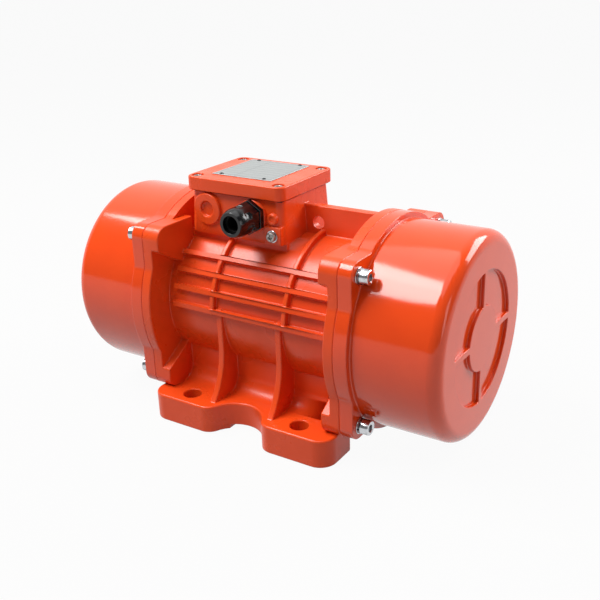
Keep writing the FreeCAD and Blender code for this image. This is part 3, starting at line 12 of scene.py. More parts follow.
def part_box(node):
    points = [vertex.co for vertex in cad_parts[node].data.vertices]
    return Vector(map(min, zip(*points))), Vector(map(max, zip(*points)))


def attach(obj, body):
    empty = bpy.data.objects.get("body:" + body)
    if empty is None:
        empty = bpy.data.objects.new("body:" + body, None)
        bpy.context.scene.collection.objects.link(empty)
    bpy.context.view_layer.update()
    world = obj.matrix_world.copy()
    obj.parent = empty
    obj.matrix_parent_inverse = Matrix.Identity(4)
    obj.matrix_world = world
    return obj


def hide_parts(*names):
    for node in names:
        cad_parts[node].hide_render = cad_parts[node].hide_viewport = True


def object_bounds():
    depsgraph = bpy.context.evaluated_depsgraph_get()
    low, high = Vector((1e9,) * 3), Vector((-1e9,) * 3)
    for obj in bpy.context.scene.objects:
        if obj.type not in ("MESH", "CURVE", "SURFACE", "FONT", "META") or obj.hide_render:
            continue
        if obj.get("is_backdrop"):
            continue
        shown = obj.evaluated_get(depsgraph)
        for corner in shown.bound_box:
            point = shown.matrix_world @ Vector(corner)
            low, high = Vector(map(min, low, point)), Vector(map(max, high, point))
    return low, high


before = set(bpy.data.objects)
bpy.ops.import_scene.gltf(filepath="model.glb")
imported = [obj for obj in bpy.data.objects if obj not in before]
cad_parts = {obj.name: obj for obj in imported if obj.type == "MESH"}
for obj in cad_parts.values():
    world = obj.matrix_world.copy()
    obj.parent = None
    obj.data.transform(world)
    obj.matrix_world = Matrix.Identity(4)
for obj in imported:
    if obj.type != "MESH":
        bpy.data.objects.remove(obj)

MM = 0.001
LOG = logging.getLogger("vibration_motor")
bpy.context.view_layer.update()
# Points closer than this, in metres, are one point.
MERGE = 2e-6
# Smooth noise keeps mostly between these values; the second pair reaches a little lower.
CLOUD_RANGE = (0.35, 0.75)
SHINE_RANGE = (0.3, 0.7)


# ------------------------------------------------------------------ small tools

def linear(hex_colour: str) -> tuple[float, float, float, float]:
    """Turn an sRGB hex value into the linear colour that shaders use.

    Args:
        hex_colour: Six hexadecimal digits, such as "c8442a".

    Returns:
        Red, green, blue and an alpha of 1.
    """
    parts = [int(hex_colour[i:i + 2], 16) / 255 for i in (0, 2, 4)]
    return (*(p / 12.92 if p <= 0.04045 else ((p + 0.055) / 1.055) ** 2.4 for p in parts), 1.0)


def add_node(tree: bpy.types.NodeTree, kind: str, settings: dict | None = None,
             inputs: dict | None = None) -> bpy.types.Node:
    """Add a node with its settings, values and links.

    Args:
        tree: The tree that gets the node.
        kind: The node's Blender type name.
        settings: Property names and values.
        inputs: Socket names or numbers, each with a value or with the output that feeds it.

    Returns:
        The new node.
    """
    node = tree.nodes.new(kind)
    for name, value in (settings or {}).items():
        setattr(node, name, value)
    for name, value in (inputs or {}).items():
        if isinstance(value, bpy.types.NodeSocket):
            tree.links.new(value, node.inputs[name])
        else:
            node.inputs[name].default_value = value
    return node


def new_object(name: str, mesh: bpy.types.Mesh) -> bpy.types.Object:
    """Put a mesh into the scene as an object at the origin.

    Args:
        name: The object's name.
        mesh: Its mesh.

    Returns:
        The new object.
    """
    piece = bpy.data.objects.new(name, mesh)
    bpy.context.scene.collection.objects.link(piece)
    return piece


def merged_copy(node: str) -> bmesh.types.BMesh:
    """Copy a CAD node's mesh with its loose triangles joined up.

    Args:
        node: The CAD node.

    Returns:
        The copy, which the caller frees.
    """
    shape = bmesh.new()
    shape.from_mesh(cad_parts[node].data)
    bmesh.ops.remove_doubles(shape, verts=shape.verts, dist=MERGE)
    return shape


def solids_of(node: str) -> list[tuple[Vector, Vector]]:
    """Find the separate solids of a CAD node.

    Args:
        node: The CAD node.

    Returns:
        The lowest and highest corner of each solid, in a steady order.
    """
    shape = merged_copy(node)
    left = set(shape.verts)
    boxes = []
    while left:
        todo = [left.pop()]
        points = []
        while todo:
            vertex = todo.pop()
            points.append(vertex.co.copy())
            for edge in vertex.link_edges:
                other = edge.other_vert(vertex)
                if other in left:
                    left.remove(other)
                    todo.append(other)
        boxes.append((Vector(min(p[i] for p in points) for i in range(3)),
                      Vector(max(p[i] for p in points) for i in range(3))))
    shape.free()
    return sorted(boxes, key=lambda box: [round(v, 4) for v in box[0]])


def baked(piece: bpy.types.Object) -> bpy.types.Object:
    """Replace a piece's mesh by its evaluated one and drop its modifiers.

    Args:
        piece: The piece with its modifiers.

    Returns:
        The same piece with a plain mesh.
    """
    bpy.context.view_layer.update()
    evaluated = piece.evaluated_get(bpy.context.evaluated_depsgraph_get())
    mesh = bpy.data.meshes.new_from_object(evaluated)
    piece.modifiers.clear()
    piece.data = mesh
    return piece


def outward(piece: bpy.types.Object, smooth_angle: float) -> bpy.types.Object:
    """Join a piece's seams, turn its faces outwards and shade it smooth up to an angle.

    Args:
        piece: A piece without modifiers.
        smooth_angle: The angle in degrees past which an edge stays sharp.

    Returns:
        The same piece.
    """
    shape = bmesh.new()
    shape.from_mesh(piece.data)
    bmesh.ops.remove_doubles(shape, verts=shape.verts, dist=MERGE)
    bmesh.ops.recalc_face_normals(shape, faces=shape.faces)
    shape.to_mesh(piece.data)
    shape.free()
    piece.data.shade_smooth()
    piece.data.set_sharp_from_angle(angle=math.radians(smooth_angle))
    return piece


def dress(piece: bpy.types.Object, material: bpy.types.Material) -> bpy.types.Object:
    """Give a piece one material in place of those it has.

    Args:
        piece: The piece to dress.
        material: Its material.

    Returns:
        The same piece.
    """
    piece.data.materials.clear()
    piece.data.materials.append(material)
    return piece


# ------------------------------------------------------------------ finishes

@dataclass(frozen=True)
class Finish:
    """A surface finish: its colour, its shine and its fine relief.

    Lengths that end in _mm are the size of a pattern in millimetres. The grain of plating and
    of ground metal is finer than a tenth of a millimetre in truth; it is drawn as coarse as
    it needs to be to show.
    """

    name: str
    colour: str
    roughness: float
    metallic: float = 0.0
    mottle: str = ""
    mottle_mm: float = 12.0
    mottle_share: float = 0.3
    grain_mm: float = 0.8
    grain_height_mm: float = 0.02
    wave_mm: float = 0.0
    wave_height_mm: float = 0.0
    coat: float = 0.0
    coat_roughness: float = 0.05
    roughness_spread: float = 0.06
    stretch: tuple[float, float, float] = (1.0, 1.0, 1.0)
    specular: float = 0.5

    def material(self) -> bpy.types.Material:
        """Build the finish's node tree, once.

        Returns:
            The material that carries the finish's name.
        """
        known = bpy.data.materials.get(self.name)
        if known:
            return known
        material = bpy.data.materials.new(self.name)
        material.use_nodes = True
        tree = material.node_tree
        tree.nodes.clear()
        place = add_node(tree, "ShaderNodeTexCoord").outputs["Object"]
        along = add_node(tree, "ShaderNodeMapping", inputs={
            "Vector": place, "Scale": self.stretch}).outputs["Vector"]
        cloud = add_node(tree, "ShaderNodeTexNoise", inputs={
            "Vector": along, "Scale": 1 / (self.mottle_mm * MM), "Detail": 3.0})
        colour = add_node(tree, "ShaderNodeMix", {"data_type": "RGBA"}, {
            "Factor": add_node(tree, "ShaderNodeMapRange", inputs={
                "Value": cloud.outputs["Fac"], "From Min": CLOUD_RANGE[0],
                "From Max": CLOUD_RANGE[1], "To Min": 0.0,
                "To Max": self.mottle_share}).outputs["Result"],
            6: linear(self.colour), 7: linear(self.mottle or self.colour)}).outputs[2]
        shine = add_node(tree, "ShaderNodeMapRange", inputs={
            "Value": cloud.outputs["Fac"], "From Min": SHINE_RANGE[0],
            "From Max": SHINE_RANGE[1],
            "To Min": self.roughness - self.roughness_spread,
            "To Max": self.roughness + self.roughness_spread})
        shader = add_node(tree, "ShaderNodeBsdfPrincipled", inputs={
            "Base Color": self.marked(tree, place, colour),
            "Roughness": shine.outputs["Result"], "Metallic": self.metallic,
            "Normal": self.relief(tree, place, along), "Coat Weight": self.coat,
            "Coat Roughness": self.coat_roughness, "Specular IOR Level": self.specular})
        add_node(tree, "ShaderNodeOutputMaterial", inputs={
            "Surface": shader.outputs["BSDF"]})
        return material

    def marked(self, tree: bpy.types.NodeTree, place: bpy.types.NodeSocket,
               colour: bpy.types.NodeSocket) -> bpy.types.NodeSocket:
        """Return the colour with the finish's own marks on it: none on a plain finish."""
        return colour

    def relief(self, tree: bpy.types.NodeTree, place: bpy.types.NodeSocket,
               along: bpy.types.NodeSocket) -> bpy.types.NodeSocket:
        """Build the fine grain and the slow waves of the surface.

        Args:
            tree: The material's tree.
            place: The point on the object.
            along: The same point, stretched along the grain.

        Returns:
            The output that carries the surface normal.
        """
        grain = add_node(tree, "ShaderNodeTexNoise", inputs={
            "Vector": along, "Scale": 1 / (self.grain_mm * MM), "Detail": 2.0})
        normal = add_node(tree, "ShaderNodeBump", inputs={
            "Height": grain.outputs["Fac"], "Distance": self.grain_height_mm * MM,
            "Strength": 1.0}).outputs["Normal"]
        if not self.wave_mm:
            return normal
        swell = add_node(tree, "ShaderNodeTexNoise", inputs={
            "Vector": place, "Scale": 1 / (self.wave_mm * MM), "Detail": 1.0})
        return add_node(tree, "ShaderNodeBump", inputs={
            "Height": swell.outputs["Fac"], "Distance": self.wave_height_mm * MM,
            "Strength": 1.0, "Normal": normal}).outputs["Normal"]


@dataclass(frozen=True)
class RuledFinish(Finish):
    """A sheet with etched ruled lines: a frame, rows and one upright, and no lettering."""

    ink: str = "6d7173"
    centre: tuple[float, float] = (0.0, 0.0)
    half_size: tuple[float, float] = (0.03, 0.03)
    frame_inset_mm: float = 2.4
    row_mm: float = 7.0
    line_mm: float = 0.45
    upright_share: float = 0.3

    def marked(self, tree: bpy.types.NodeTree, place: bpy.types.NodeSocket,
               colour: bpy.types.NodeSocket) -> bpy.types.NodeSocket:
        """Lay the ruled lines over the sheet's colour.

        Args:
            tree: The material's tree.
            place: The point on the object.
            colour: The colour of the bare sheet.

        Returns:
            The output that carries the finished colour.
        """
        def math_node(operation: str, *values: object) -> bpy.types.NodeSocket:
            """Add one step of the sum that finds the lines."""
            return add_node(tree, "ShaderNodeMath", {"operation": operation},
                            dict(enumerate(values))).outputs[0]

        centred = add_node(tree, "ShaderNodeMapping", {"vector_type": "TEXTURE"}, {
            "Vector": place, "Location": (*self.centre, 0.0)}).outputs["Vector"]
        axes = add_node(tree, "ShaderNodeSeparateXYZ", inputs={"Vector": centred}).outputs
        half_line = self.line_mm * MM / 2
        inner = [half - self.frame_inset_mm * MM for half in self.half_size]
        reach = [math_node("ABSOLUTE", axes[0]), math_node("ABSOLUTE", axes[1])]
        on_frame = math_node("MAXIMUM", *(
            math_node("COMPARE", reach[i], inner[i], half_line) for i in (0, 1)))
        row = math_node("COMPARE", math_node("PINGPONG", axes[1], self.row_mm * MM / 2),
                        0.0, half_line)
        upright = math_node("COMPARE", axes[0], -inner[0] * self.upright_share, half_line)
        inside = math_node("MULTIPLY", *(
            math_node("LESS_THAN", reach[i], inner[i] + half_line) for i in (0, 1)))
        lines = math_node("MULTIPLY", inside, math_node(
            "MAXIMUM", on_frame, math_node("MAXIMUM", row, upright)))
        return add_node(tree, "ShaderNodeMix", {"data_type": "RGBA"}, {
            "Factor": lines, 6: colour, 7: linear(self.ink)}).outputs[2]


# Alkyd enamel sprayed on a cleaned casting: an even orange-red film with a soft shine, which
# follows the skin of the casting and has the fine ripple of spray paint.
CAST_PAINT = Finish("enamel_on_casting", "e24a17", 0.30, mottle="d03f12", mottle_mm=30,
                    mottle_share=0.4, grain_mm=1.1, grain_height_mm=0.010, wave_mm=9,
                    wave_height_mm=0.025, specular=0.36)
# The same enamel on a die-cast cover, whose smoother skin gives it a clear shine.
COVER_PAINT = Finish("enamel_on_cover", "e24612", 0.12, mottle="d43c0e", mottle_mm=40,
                     mottle_share=0.4, grain_mm=1.3, grain_height_mm=0.004, wave_mm=16,
                     wave_height_mm=0.03, roughness_spread=0.02)
# Zinc-plated steel: bright and slightly bluish, with faint streaks from the plating bath.
ZINC_STEEL = Finish("zinc_plated_steel", "d0d2d5", 0.22, 1.0, mottle="aeb2b8", mottle_mm=3,
                    grain_mm=0.3, grain_height_mm=0.004)
# Spring steel that was zinc plated: greyer than the screws.
SPRING_STEEL = Finish("plated_spring_steel", "a9adb2", 0.30, 1.0, mottle="8c9096",
                      mottle_mm=2, grain_mm=0.3, grain_height_mm=0.005)
# Chemically blackened steel of the small rivets: nearly black with a metal's shine.
BLACKENED_STEEL = Finish("blackened_steel", "2b2c2e", 0.38, 0.8, mottle="3a3c3e", mottle_mm=1,
                         grain_mm=0.3, grain_height_mm=0.004)
# Zinc plating that has gone dull under handling.
DULL_ZINC = Finish("dull_zinc_plate", "a8a5a1", 0.36, 1.0, mottle="86827e", mottle_mm=1.5,
                   mottle_share=0.7, grain_mm=0.3, grain_height_mm=0.006)
# Turned brass of the terminals, with the feed marks of the tool round them.
TURNED_BRASS = Finish("turned_brass", "c9a75a", 0.28, 1.0, mottle="b08c45", mottle_mm=3,
                      grain_mm=0.25, grain_height_mm=0.004, stretch=(1, 1, 8))
# Polyamide from a polished mould: a deep black with a clear shine.
POLYAMIDE = Finish("moulded_polyamide", "08080a", 0.19, mottle="0e0e10", mottle_mm=4,
                   grain_mm=1.5, grain_height_mm=0.0006, roughness_spread=0.02)
# Nitrile rubber: dull, dark and slightly powdery.
NITRILE = Finish("nitrile_rubber", "090909", 0.65, mottle="0f0f10", mottle_mm=3,
                 grain_mm=0.5, grain_height_mm=0.01, specular=0.25)
# Grey cast iron with a machined, lightly oiled skin.
GREY_IRON = Finish("machined_grey_iron", "6a6b6d", 0.46, 0.85, mottle="4d4e51", mottle_mm=5,
                   grain_mm=0.9, grain_height_mm=0.03)
# Ground bearing steel: almost a mirror.
BEARING_STEEL = Finish("ground_bearing_steel", "d3d5d8", 0.14, 1.0, mottle="c2c5c9",
                       mottle_mm=8, grain_mm=0.2, grain_height_mm=0.001)
# Machined brass of the roller cage, with the fine marks of the tool round it.
CAGE_BRASS = Finish("machined_brass_cage", "c39a4c", 0.30, 1.0, mottle="a88140", mottle_mm=6,
                    grain_mm=0.3, grain_height_mm=0.003, stretch=(6, 1, 1))
# Turned shaft steel, with the feed marks of the tool round it.
SHAFT_STEEL = Finish("turned_shaft_steel", "b4b7bb", 0.26, 1.0, mottle="9ea1a5", mottle_mm=8,
                     grain_mm=0.4, grain_height_mm=0.004, stretch=(6, 0.3, 0.3))
# Electrical steel laminations 0.5 mm thick, seen as fine lines across the stack.
LAMINATIONS = Finish("stacked_laminations", "5d6166", 0.42, 0.9, mottle="4a4d52", mottle_mm=4,
                     grain_mm=0.5, grain_height_mm=0.05, stretch=(1.0, 0.02, 0.02))
# Die-cast aluminium of the rotor cage: pale and slightly rough.
DIE_CAST = Finish("die_cast_aluminium", "b9bcbf", 0.40, 1.0, mottle="a2a5a8", mottle_mm=5,
                  grain_mm=1.0, grain_height_mm=0.02)
# Enamelled copper wire 1 mm thick under baked varnish: warm brown bundles.
VARNISHED_COPPER = Finish("varnished_copper_winding", "8a3f16", 0.30, 0.4, mottle="5c260c",
                          mottle_mm=1.6, mottle_share=0.9, grain_mm=1.0,
                          grain_height_mm=0.25, coat=0.5)
# Phenolic moulding of the terminal block: dark brown with a dull skin.
PHENOLIC = Finish("phenolic_moulding", "2b1a12", 0.40, mottle="3a241a", mottle_mm=3,
                  grain_mm=0.5, grain_height_mm=0.01)

NODE_FINISHES = {
    ZINC_STEEL: ("*_bracket_screws", "*_bearing_cap_screws", "*_weight_key", "*_end_washer",
                 "*_circlip", "*_fixed_clamp", "*_adjustable_clamp"),
    NITRILE: ("lid_gasket", "*_cover_seal"),
    GREY_IRON: ("*_bearing_bracket", "*_bearing_cap", "*_fixed_weight",
                "*_adjustable_weight"),
    BEARING_STEEL: ("*_bearing_outer_ring", "*_bearing_inner_ring", "*_bearing_rollers"),
    CAGE_BRASS: ("*_bearing_cage",),
    SHAFT_STEEL: ("shaft", "*_shaft_spacer"),
    LAMINATIONS: ("stator_core", "rotor_core"),
    DIE_CAST: ("rotor_cage",),
    VARNISHED_COPPER: ("stator_winding",),
    POLYAMIDE: ("gland_locknut",),
    PHENOLIC: ("terminal_block",),
    TURNED_BRASS: ("terminal_studs", "terminal_nuts"),
}


def dress_inner_nodes() -> None:
    """Give the CAD nodes that stay as they are their finishes."""
    for finish, names in NODE_FINISHES.items():
        for name in names:
            for side in (("left", "right") if name.startswith("*") else ("",)):
                dress(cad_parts[name.replace("*", side)], finish.material())


# ------------------------------------------------------------------ moulded and cast pieces

@dataclass
class RoundedPiece:
    """A casting, moulding or sheet: its CAD shape with the edges rounded as made.

    Every chain of sharp edges gets the rounding that the faces beside it leave room for. A
    chain with less than the least room, such as one beside narrow strips, stays as it is.
    Angles are in degrees.
    """

    node: str
    name: str
    slot: str
    finish: Finish
    rounding: float
    segments: int = 3
    edge_angle: float = 38.0
    flat_angle: float = 0.6
    room_share: float = 0.4
    least_room: float = 0.15 * MM

    def build(self) -> bpy.types.Object:
        """Build the piece over its CAD node and hide the node.

        Returns:
            The finished piece.
        """
        shape = merged_copy(self.node)
        self.reshape(shape)
        bmesh.ops.dissolve_limit(shape, angle_limit=math.radians(self.flat_angle),
                                 verts=shape.verts, edges=shape.edges)
        self.weigh_edges(shape)
        mesh = bpy.data.meshes.new(self.name)
        shape.to_mesh(mesh)
        shape.free()
        mesh.shade_smooth()
        mesh.set_sharp_from_angle(angle=math.radians(self.edge_angle))
        piece = new_object(self.name, mesh)
        bevel = piece.modifiers.new("rounding", "BEVEL")
        bevel.width = self.rounding
        bevel.segments = self.segments
        bevel.limit_method = "WEIGHT"
        bevel.use_clamp_overlap = False
        bevel.harden_normals = True
        bevel.miter_outer = "MITER_ARC"
        flatten = piece.modifiers.new("flat faces", "WEIGHTED_NORMAL")
        flatten.keep_sharp = True
        dress(baked(piece), self.finish.material())
        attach(piece, "housing")
        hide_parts(self.node)
        LOG.info("%s: %d faces", self.name, len(piece.data.polygons))
        return piece

    def reshape(self, shape: bmesh.types.BMesh) -> None:
        """Adjust the shape before its edges are rounded: nothing on a plain piece."""

    def room_beside(self, edge: bmesh.types.BMEdge) -> float:
        """Find how wide a rounding the two faces beside an edge leave room for.

        Args:
            edge: The edge to round.

        Returns:
            The width in metres, at most the piece's own rounding.
        """
        start = edge.verts[0].co
        span = edge.verts[1].co - start
        length = max(span.length, MERGE)
        way = span / length
        room = self.rounding
        for face in edge.link_faces:
            for vertex in face.verts:
                if vertex in edge.verts:
                    continue
                reach = vertex.co - start
                along = reach.dot(way)
                if -MERGE < along < length + MERGE:
                    room = min(room, self.room_share * (reach - way * along).length)
        return room

    def weigh_edges(self, shape: bmesh.types.BMesh) -> None:
        """Give each chain of sharp edges the widest rounding that it has room for.

        Args:
            shape: The shape before its edges are rounded.
        """
        limit = math.radians(self.edge_angle)
        weight = shape.edges.layers.float.new("bevel_weight_edge")
        sharp = {edge for edge in shape.edges
                 if edge.is_manifold and edge.calc_face_angle() > limit}
        done = set()
        for first in shape.edges:
            if first not in sharp or first in done:
                continue
            chain, ends = [first], [first]
            done.add(first)
            while ends:
                for vertex in ends.pop().verts:
                    met = [edge for edge in vertex.link_edges if edge in sharp]
                    fresh = [edge for edge in met if edge not in done]
                    if len(met) == 2 and fresh:
                        done.update(fresh)
                        chain += fresh
                        ends += fresh
            room = min(self.room_beside(edge) for edge in chain)
            for edge in chain:
                edge[weight] = room / self.rounding if room > self.least_room else 0.0


@dataclass
class WeightCover(RoundedPiece):
    """A die-cast weight cover with four shallow pockets in its end."""

    cad_field_depth: float = 2.5 * MM
    cad_pocket_depth: float = 5.0 * MM
    depth_slack: float = 0.1 * MM
    field_radius: float = 72.5 * MM
    field_depth: float = 0.35 * MM
    pocket_depth: float = 3.3 * MM

    def reshape(self, shape: bmesh.types.BMesh) -> None:
        """Raise the floors of the field and of the pockets to their cast depth.

        Args:
            shape: The shape before its edges are rounded.
        """
        low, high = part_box(self.node)
        end = max(abs(low[0]), abs(high[0]))
        centre_z = (low[2] + high[2]) / 2
        deepest = self.cad_field_depth + self.cad_pocket_depth + self.depth_slack
        for vertex in shape.verts:
            depth = end - abs(vertex.co.x)
            radius = math.hypot(vertex.co.y, vertex.co.z - centre_z)
            if depth > deepest or radius > self.field_radius:
                continue
            field_part = min(depth / self.cad_field_depth, 1.0) * self.field_depth
            pocket_part = max(depth - self.cad_field_depth, 0.0) / self.cad_pocket_depth
            depth = field_part + pocket_part * self.pocket_depth
            vertex.co.x = math.copysign(end - depth, vertex.co.x)


@dataclass
class Housing:
    """The outer castings: body, terminal box lid and the two weight covers."""

    casting_rounding: float = 1.1 * MM
    lid_rounding: float = 0.8 * MM
    cover_rounding: float = 0.7 * MM

    def build(self) -> None:
        """Build the castings."""
        RoundedPiece("motor_body", "housing_casting", "housing_paint", CAST_PAINT,
                     self.casting_rounding).build()
        RoundedPiece("terminal_box_lid", "terminal_box_cover", "housing_paint", CAST_PAINT,
                     self.lid_rounding).build()
        for side in ("right", "left"):
            WeightCover(f"{side}_weight_cover", f"{side}_cover_casting", "cover_paint",
                        COVER_PAINT, self.cover_rounding).build()


@dataclass
class CableGland:
    """The gland in the terminal box: body, nut and the rubber ring that grips the cord."""

    moulding_radius: float = 0.45 * MM
    moulding_edge_angle: float = 24
    rubber_radius: float = 0.35 * MM

    def build(self) -> None:
        """Build the three pieces."""
        for node, name in (("gland_body", "gland_hexagon"), ("gland_nut", "gland_dome_nut")):
            RoundedPiece(node, name, "gland_plastic", POLYAMIDE, self.moulding_radius,
                         edge_angle=self.moulding_edge_angle).build()
        RoundedPiece("gland_seal", "gland_rubber_ring", "gasket", NITRILE,
                     self.rubber_radius).build()


# ------------------------------------------------------------------ screws, rivets, washers

class Outline(Enum):
    """The outline of one ring of a turned or pressed piece."""

    ROUND = "round"
    KNURLED = "knurled"
    HEXAGON = "hexagon"
    CROSS = "cross"


@dataclass(frozen=True)
class Ring:
    """One ring of a turned piece; a length is a sum of named sizes, "-" takes one away."""

    radius: str
    height: str
    outline: Outline = Outline.ROUND


SHANK = (Ring("Pole", "-Shank length"), Ring("Shank radius -Edge", "-Shank length"),
         Ring("Shank radius", "Edge -Shank length"), Ring("Shank radius", ""))
# A cylinder head with a knurled side and a hexagon socket.
SOCKET_CAP = SHANK + (
    Ring("Head radius -Edge", ""), Ring("Head radius", "Edge"),
    Ring("Head radius", "Edge Edge", Outline.KNURLED),
    Ring("Head radius", "Head height -Edge -Edge", Outline.KNURLED),
    Ring("Head radius", "Head height -Edge"), Ring("Head radius -Edge", "Head height"),
    Ring("Recess radius Edge", "Head height"),
    Ring("Recess radius", "Head height -Edge", Outline.HEXAGON),
    Ring("Recess radius", "Head height -Recess depth", Outline.HEXAGON),
    Ring("Pole", "Head height -Recess depth -Edge"))
# A low rounded head with a cross recess.
CROSS_PAN = SHANK + (
    Ring("Head radius -Edge", ""), Ring("Head radius", "Edge"),
    Ring("Head radius", "Head height -Edge -Edge -Edge"),
    Ring("Head radius -Edge", "Head height -Edge"),
    Ring("Head radius -Edge -Edge -Edge", "Head height"),
    Ring("Recess radius Edge", "Head height"),
    Ring("Recess radius", "Head height -Edge", Outline.CROSS),
    Ring("Recess radius -Edge", "Head height -Recess depth", Outline.CROSS),
    Ring("Pole", "Head height -Recess depth -Edge"))
# A domed blind rivet with the hole that its pin leaves.
BLIND_RIVET = SHANK + (
    Ring("Head radius", ""), Ring("Head radius", "Edge"),
    Ring("Head radius -Edge -Edge", "Head height -Edge"),
    Ring("Head radius -Edge -Edge -Edge -Edge", "Head height"),
    Ring("Recess radius", "Head height"),
    Ring("Recess radius", "Head height -Recess depth"),
    Ring("Pole", "Head height -Recess depth"))
# A flat washer with broken edges.
FLAT_WASHER = (
    Ring("Hole radius", "Edge"), Ring("Hole radius Edge", ""),
    Ring("Head radius -Edge", ""), Ring("Head radius", "Edge"),
    Ring("Head radius", "Head height -Edge"), Ring("Head radius -Edge", "Head height"),
    Ring("Hole radius Edge", "Head height"), Ring("Hole radius", "Head height -Edge"),
    Ring("Hole radius", "Edge"))


class TreeMaker:
    """A Geometry Nodes tree in the making."""

    def __init__(self, name: str, sizes: Iterable[str]) -> None:
        """Start the tree with its sockets.

        Args:
            name: The tree's name.
            sizes: Names of the sizes that it takes, in metres.
        """
        self.tree = bpy.data.node_groups.new(name, "GeometryNodeTree")
        kinds = {"Geometry": "NodeSocketGeometry", "Axis": "NodeSocketVector",
                 "Seed": "NodeSocketInt", "Material": "NodeSocketMaterial"}
        for socket in (*kinds, *sizes):
            self.tree.interface.new_socket(
                socket, in_out="INPUT", socket_type=kinds.get(socket, "NodeSocketFloat"))
        self.tree.interface.new_socket("Geometry", in_out="OUTPUT",
                                       socket_type="NodeSocketGeometry")
        self.given = self.add("NodeGroupInput").outputs

    def add(self, kind: str, settings: dict | None = None,
            inputs: dict | None = None) -> bpy.types.Node:
        """Add a node to this tree."""
        return add_node(self.tree, kind, settings, inputs)

    def sum_of(self, terms: str) -> bpy.types.NodeSocket | float:
        """Add up named sizes.

        Args:
            terms: Size names, each with capitals first; a "-" before one takes it away.

        Returns:
            The output that carries the sum, or 0.
        """
        total: bpy.types.NodeSocket | float = 0.0
        for term in split_terms(terms):
            operation = "SUBTRACT" if term.startswith("-") else "ADD"
            total = self.add("ShaderNodeMath", {"operation": operation}, {
                0: total, 1: self.given[term.lstrip("-")]}).outputs[0]
        return total

    def place_and_end(self, made: bpy.types.NodeSocket) -> None:
        """Put the made piece on every point, turned to the axis, and end the tree.

        Args:
            made: The geometry of one piece, standing on its seat along +Z.
        """
        stand = self.add("FunctionNodeAlignRotationToVector", {"axis": "Z"}, {
            "Vector": self.given["Axis"]})
        chance = self.add("FunctionNodeRandomValue", {"data_type": "FLOAT"}, {
            "Min": 0.0, "Max": math.tau, "Seed": self.given["Seed"]})
        own_turn = self.add("FunctionNodeAxisAngleToRotation", inputs={
            "Axis": (0, 0, 1), "Angle": [o for o in chance.outputs if o.enabled][0]})
        turned = self.add("FunctionNodeRotateRotation", {"rotation_space": "LOCAL"}, {
            "Rotation": stand.outputs["Rotation"],
            "Rotate By": own_turn.outputs["Rotation"]})
        spread = self.add("GeometryNodeInstanceOnPoints", inputs={
            "Points": self.given["Geometry"], "Instance": made,
            "Rotation": turned.outputs["Rotation"]})
        real = self.add("GeometryNodeRealizeInstances", inputs={
            "Geometry": spread.outputs["Instances"]})
        painted = self.add("GeometryNodeSetMaterial", inputs={
            "Geometry": real.outputs["Geometry"], "Material": self.given["Material"]})
        self.add("NodeGroupOutput", inputs={"Geometry": painted.outputs["Geometry"]})


def split_terms(terms: str) -> list[str]:
    """Split a sum such as "Head height -Edge" into its names.

    Args:
        terms: The sum; a name in it starts with a capital or a "-".

    Returns:
        The names in order, each with its "-" where it has one.
    """
    names: list[str] = []
    for word in terms.split():
        if word[0] == "-" or word[0].isupper():
            names.append(word)
        else:
            names[-1] += " " + word
    return names


TURNED_SIZES = ("Pole", "Edge", "Shank radius", "Shank length", "Head radius", "Head height",
                "Recess radius", "Recess depth", "Hole radius")


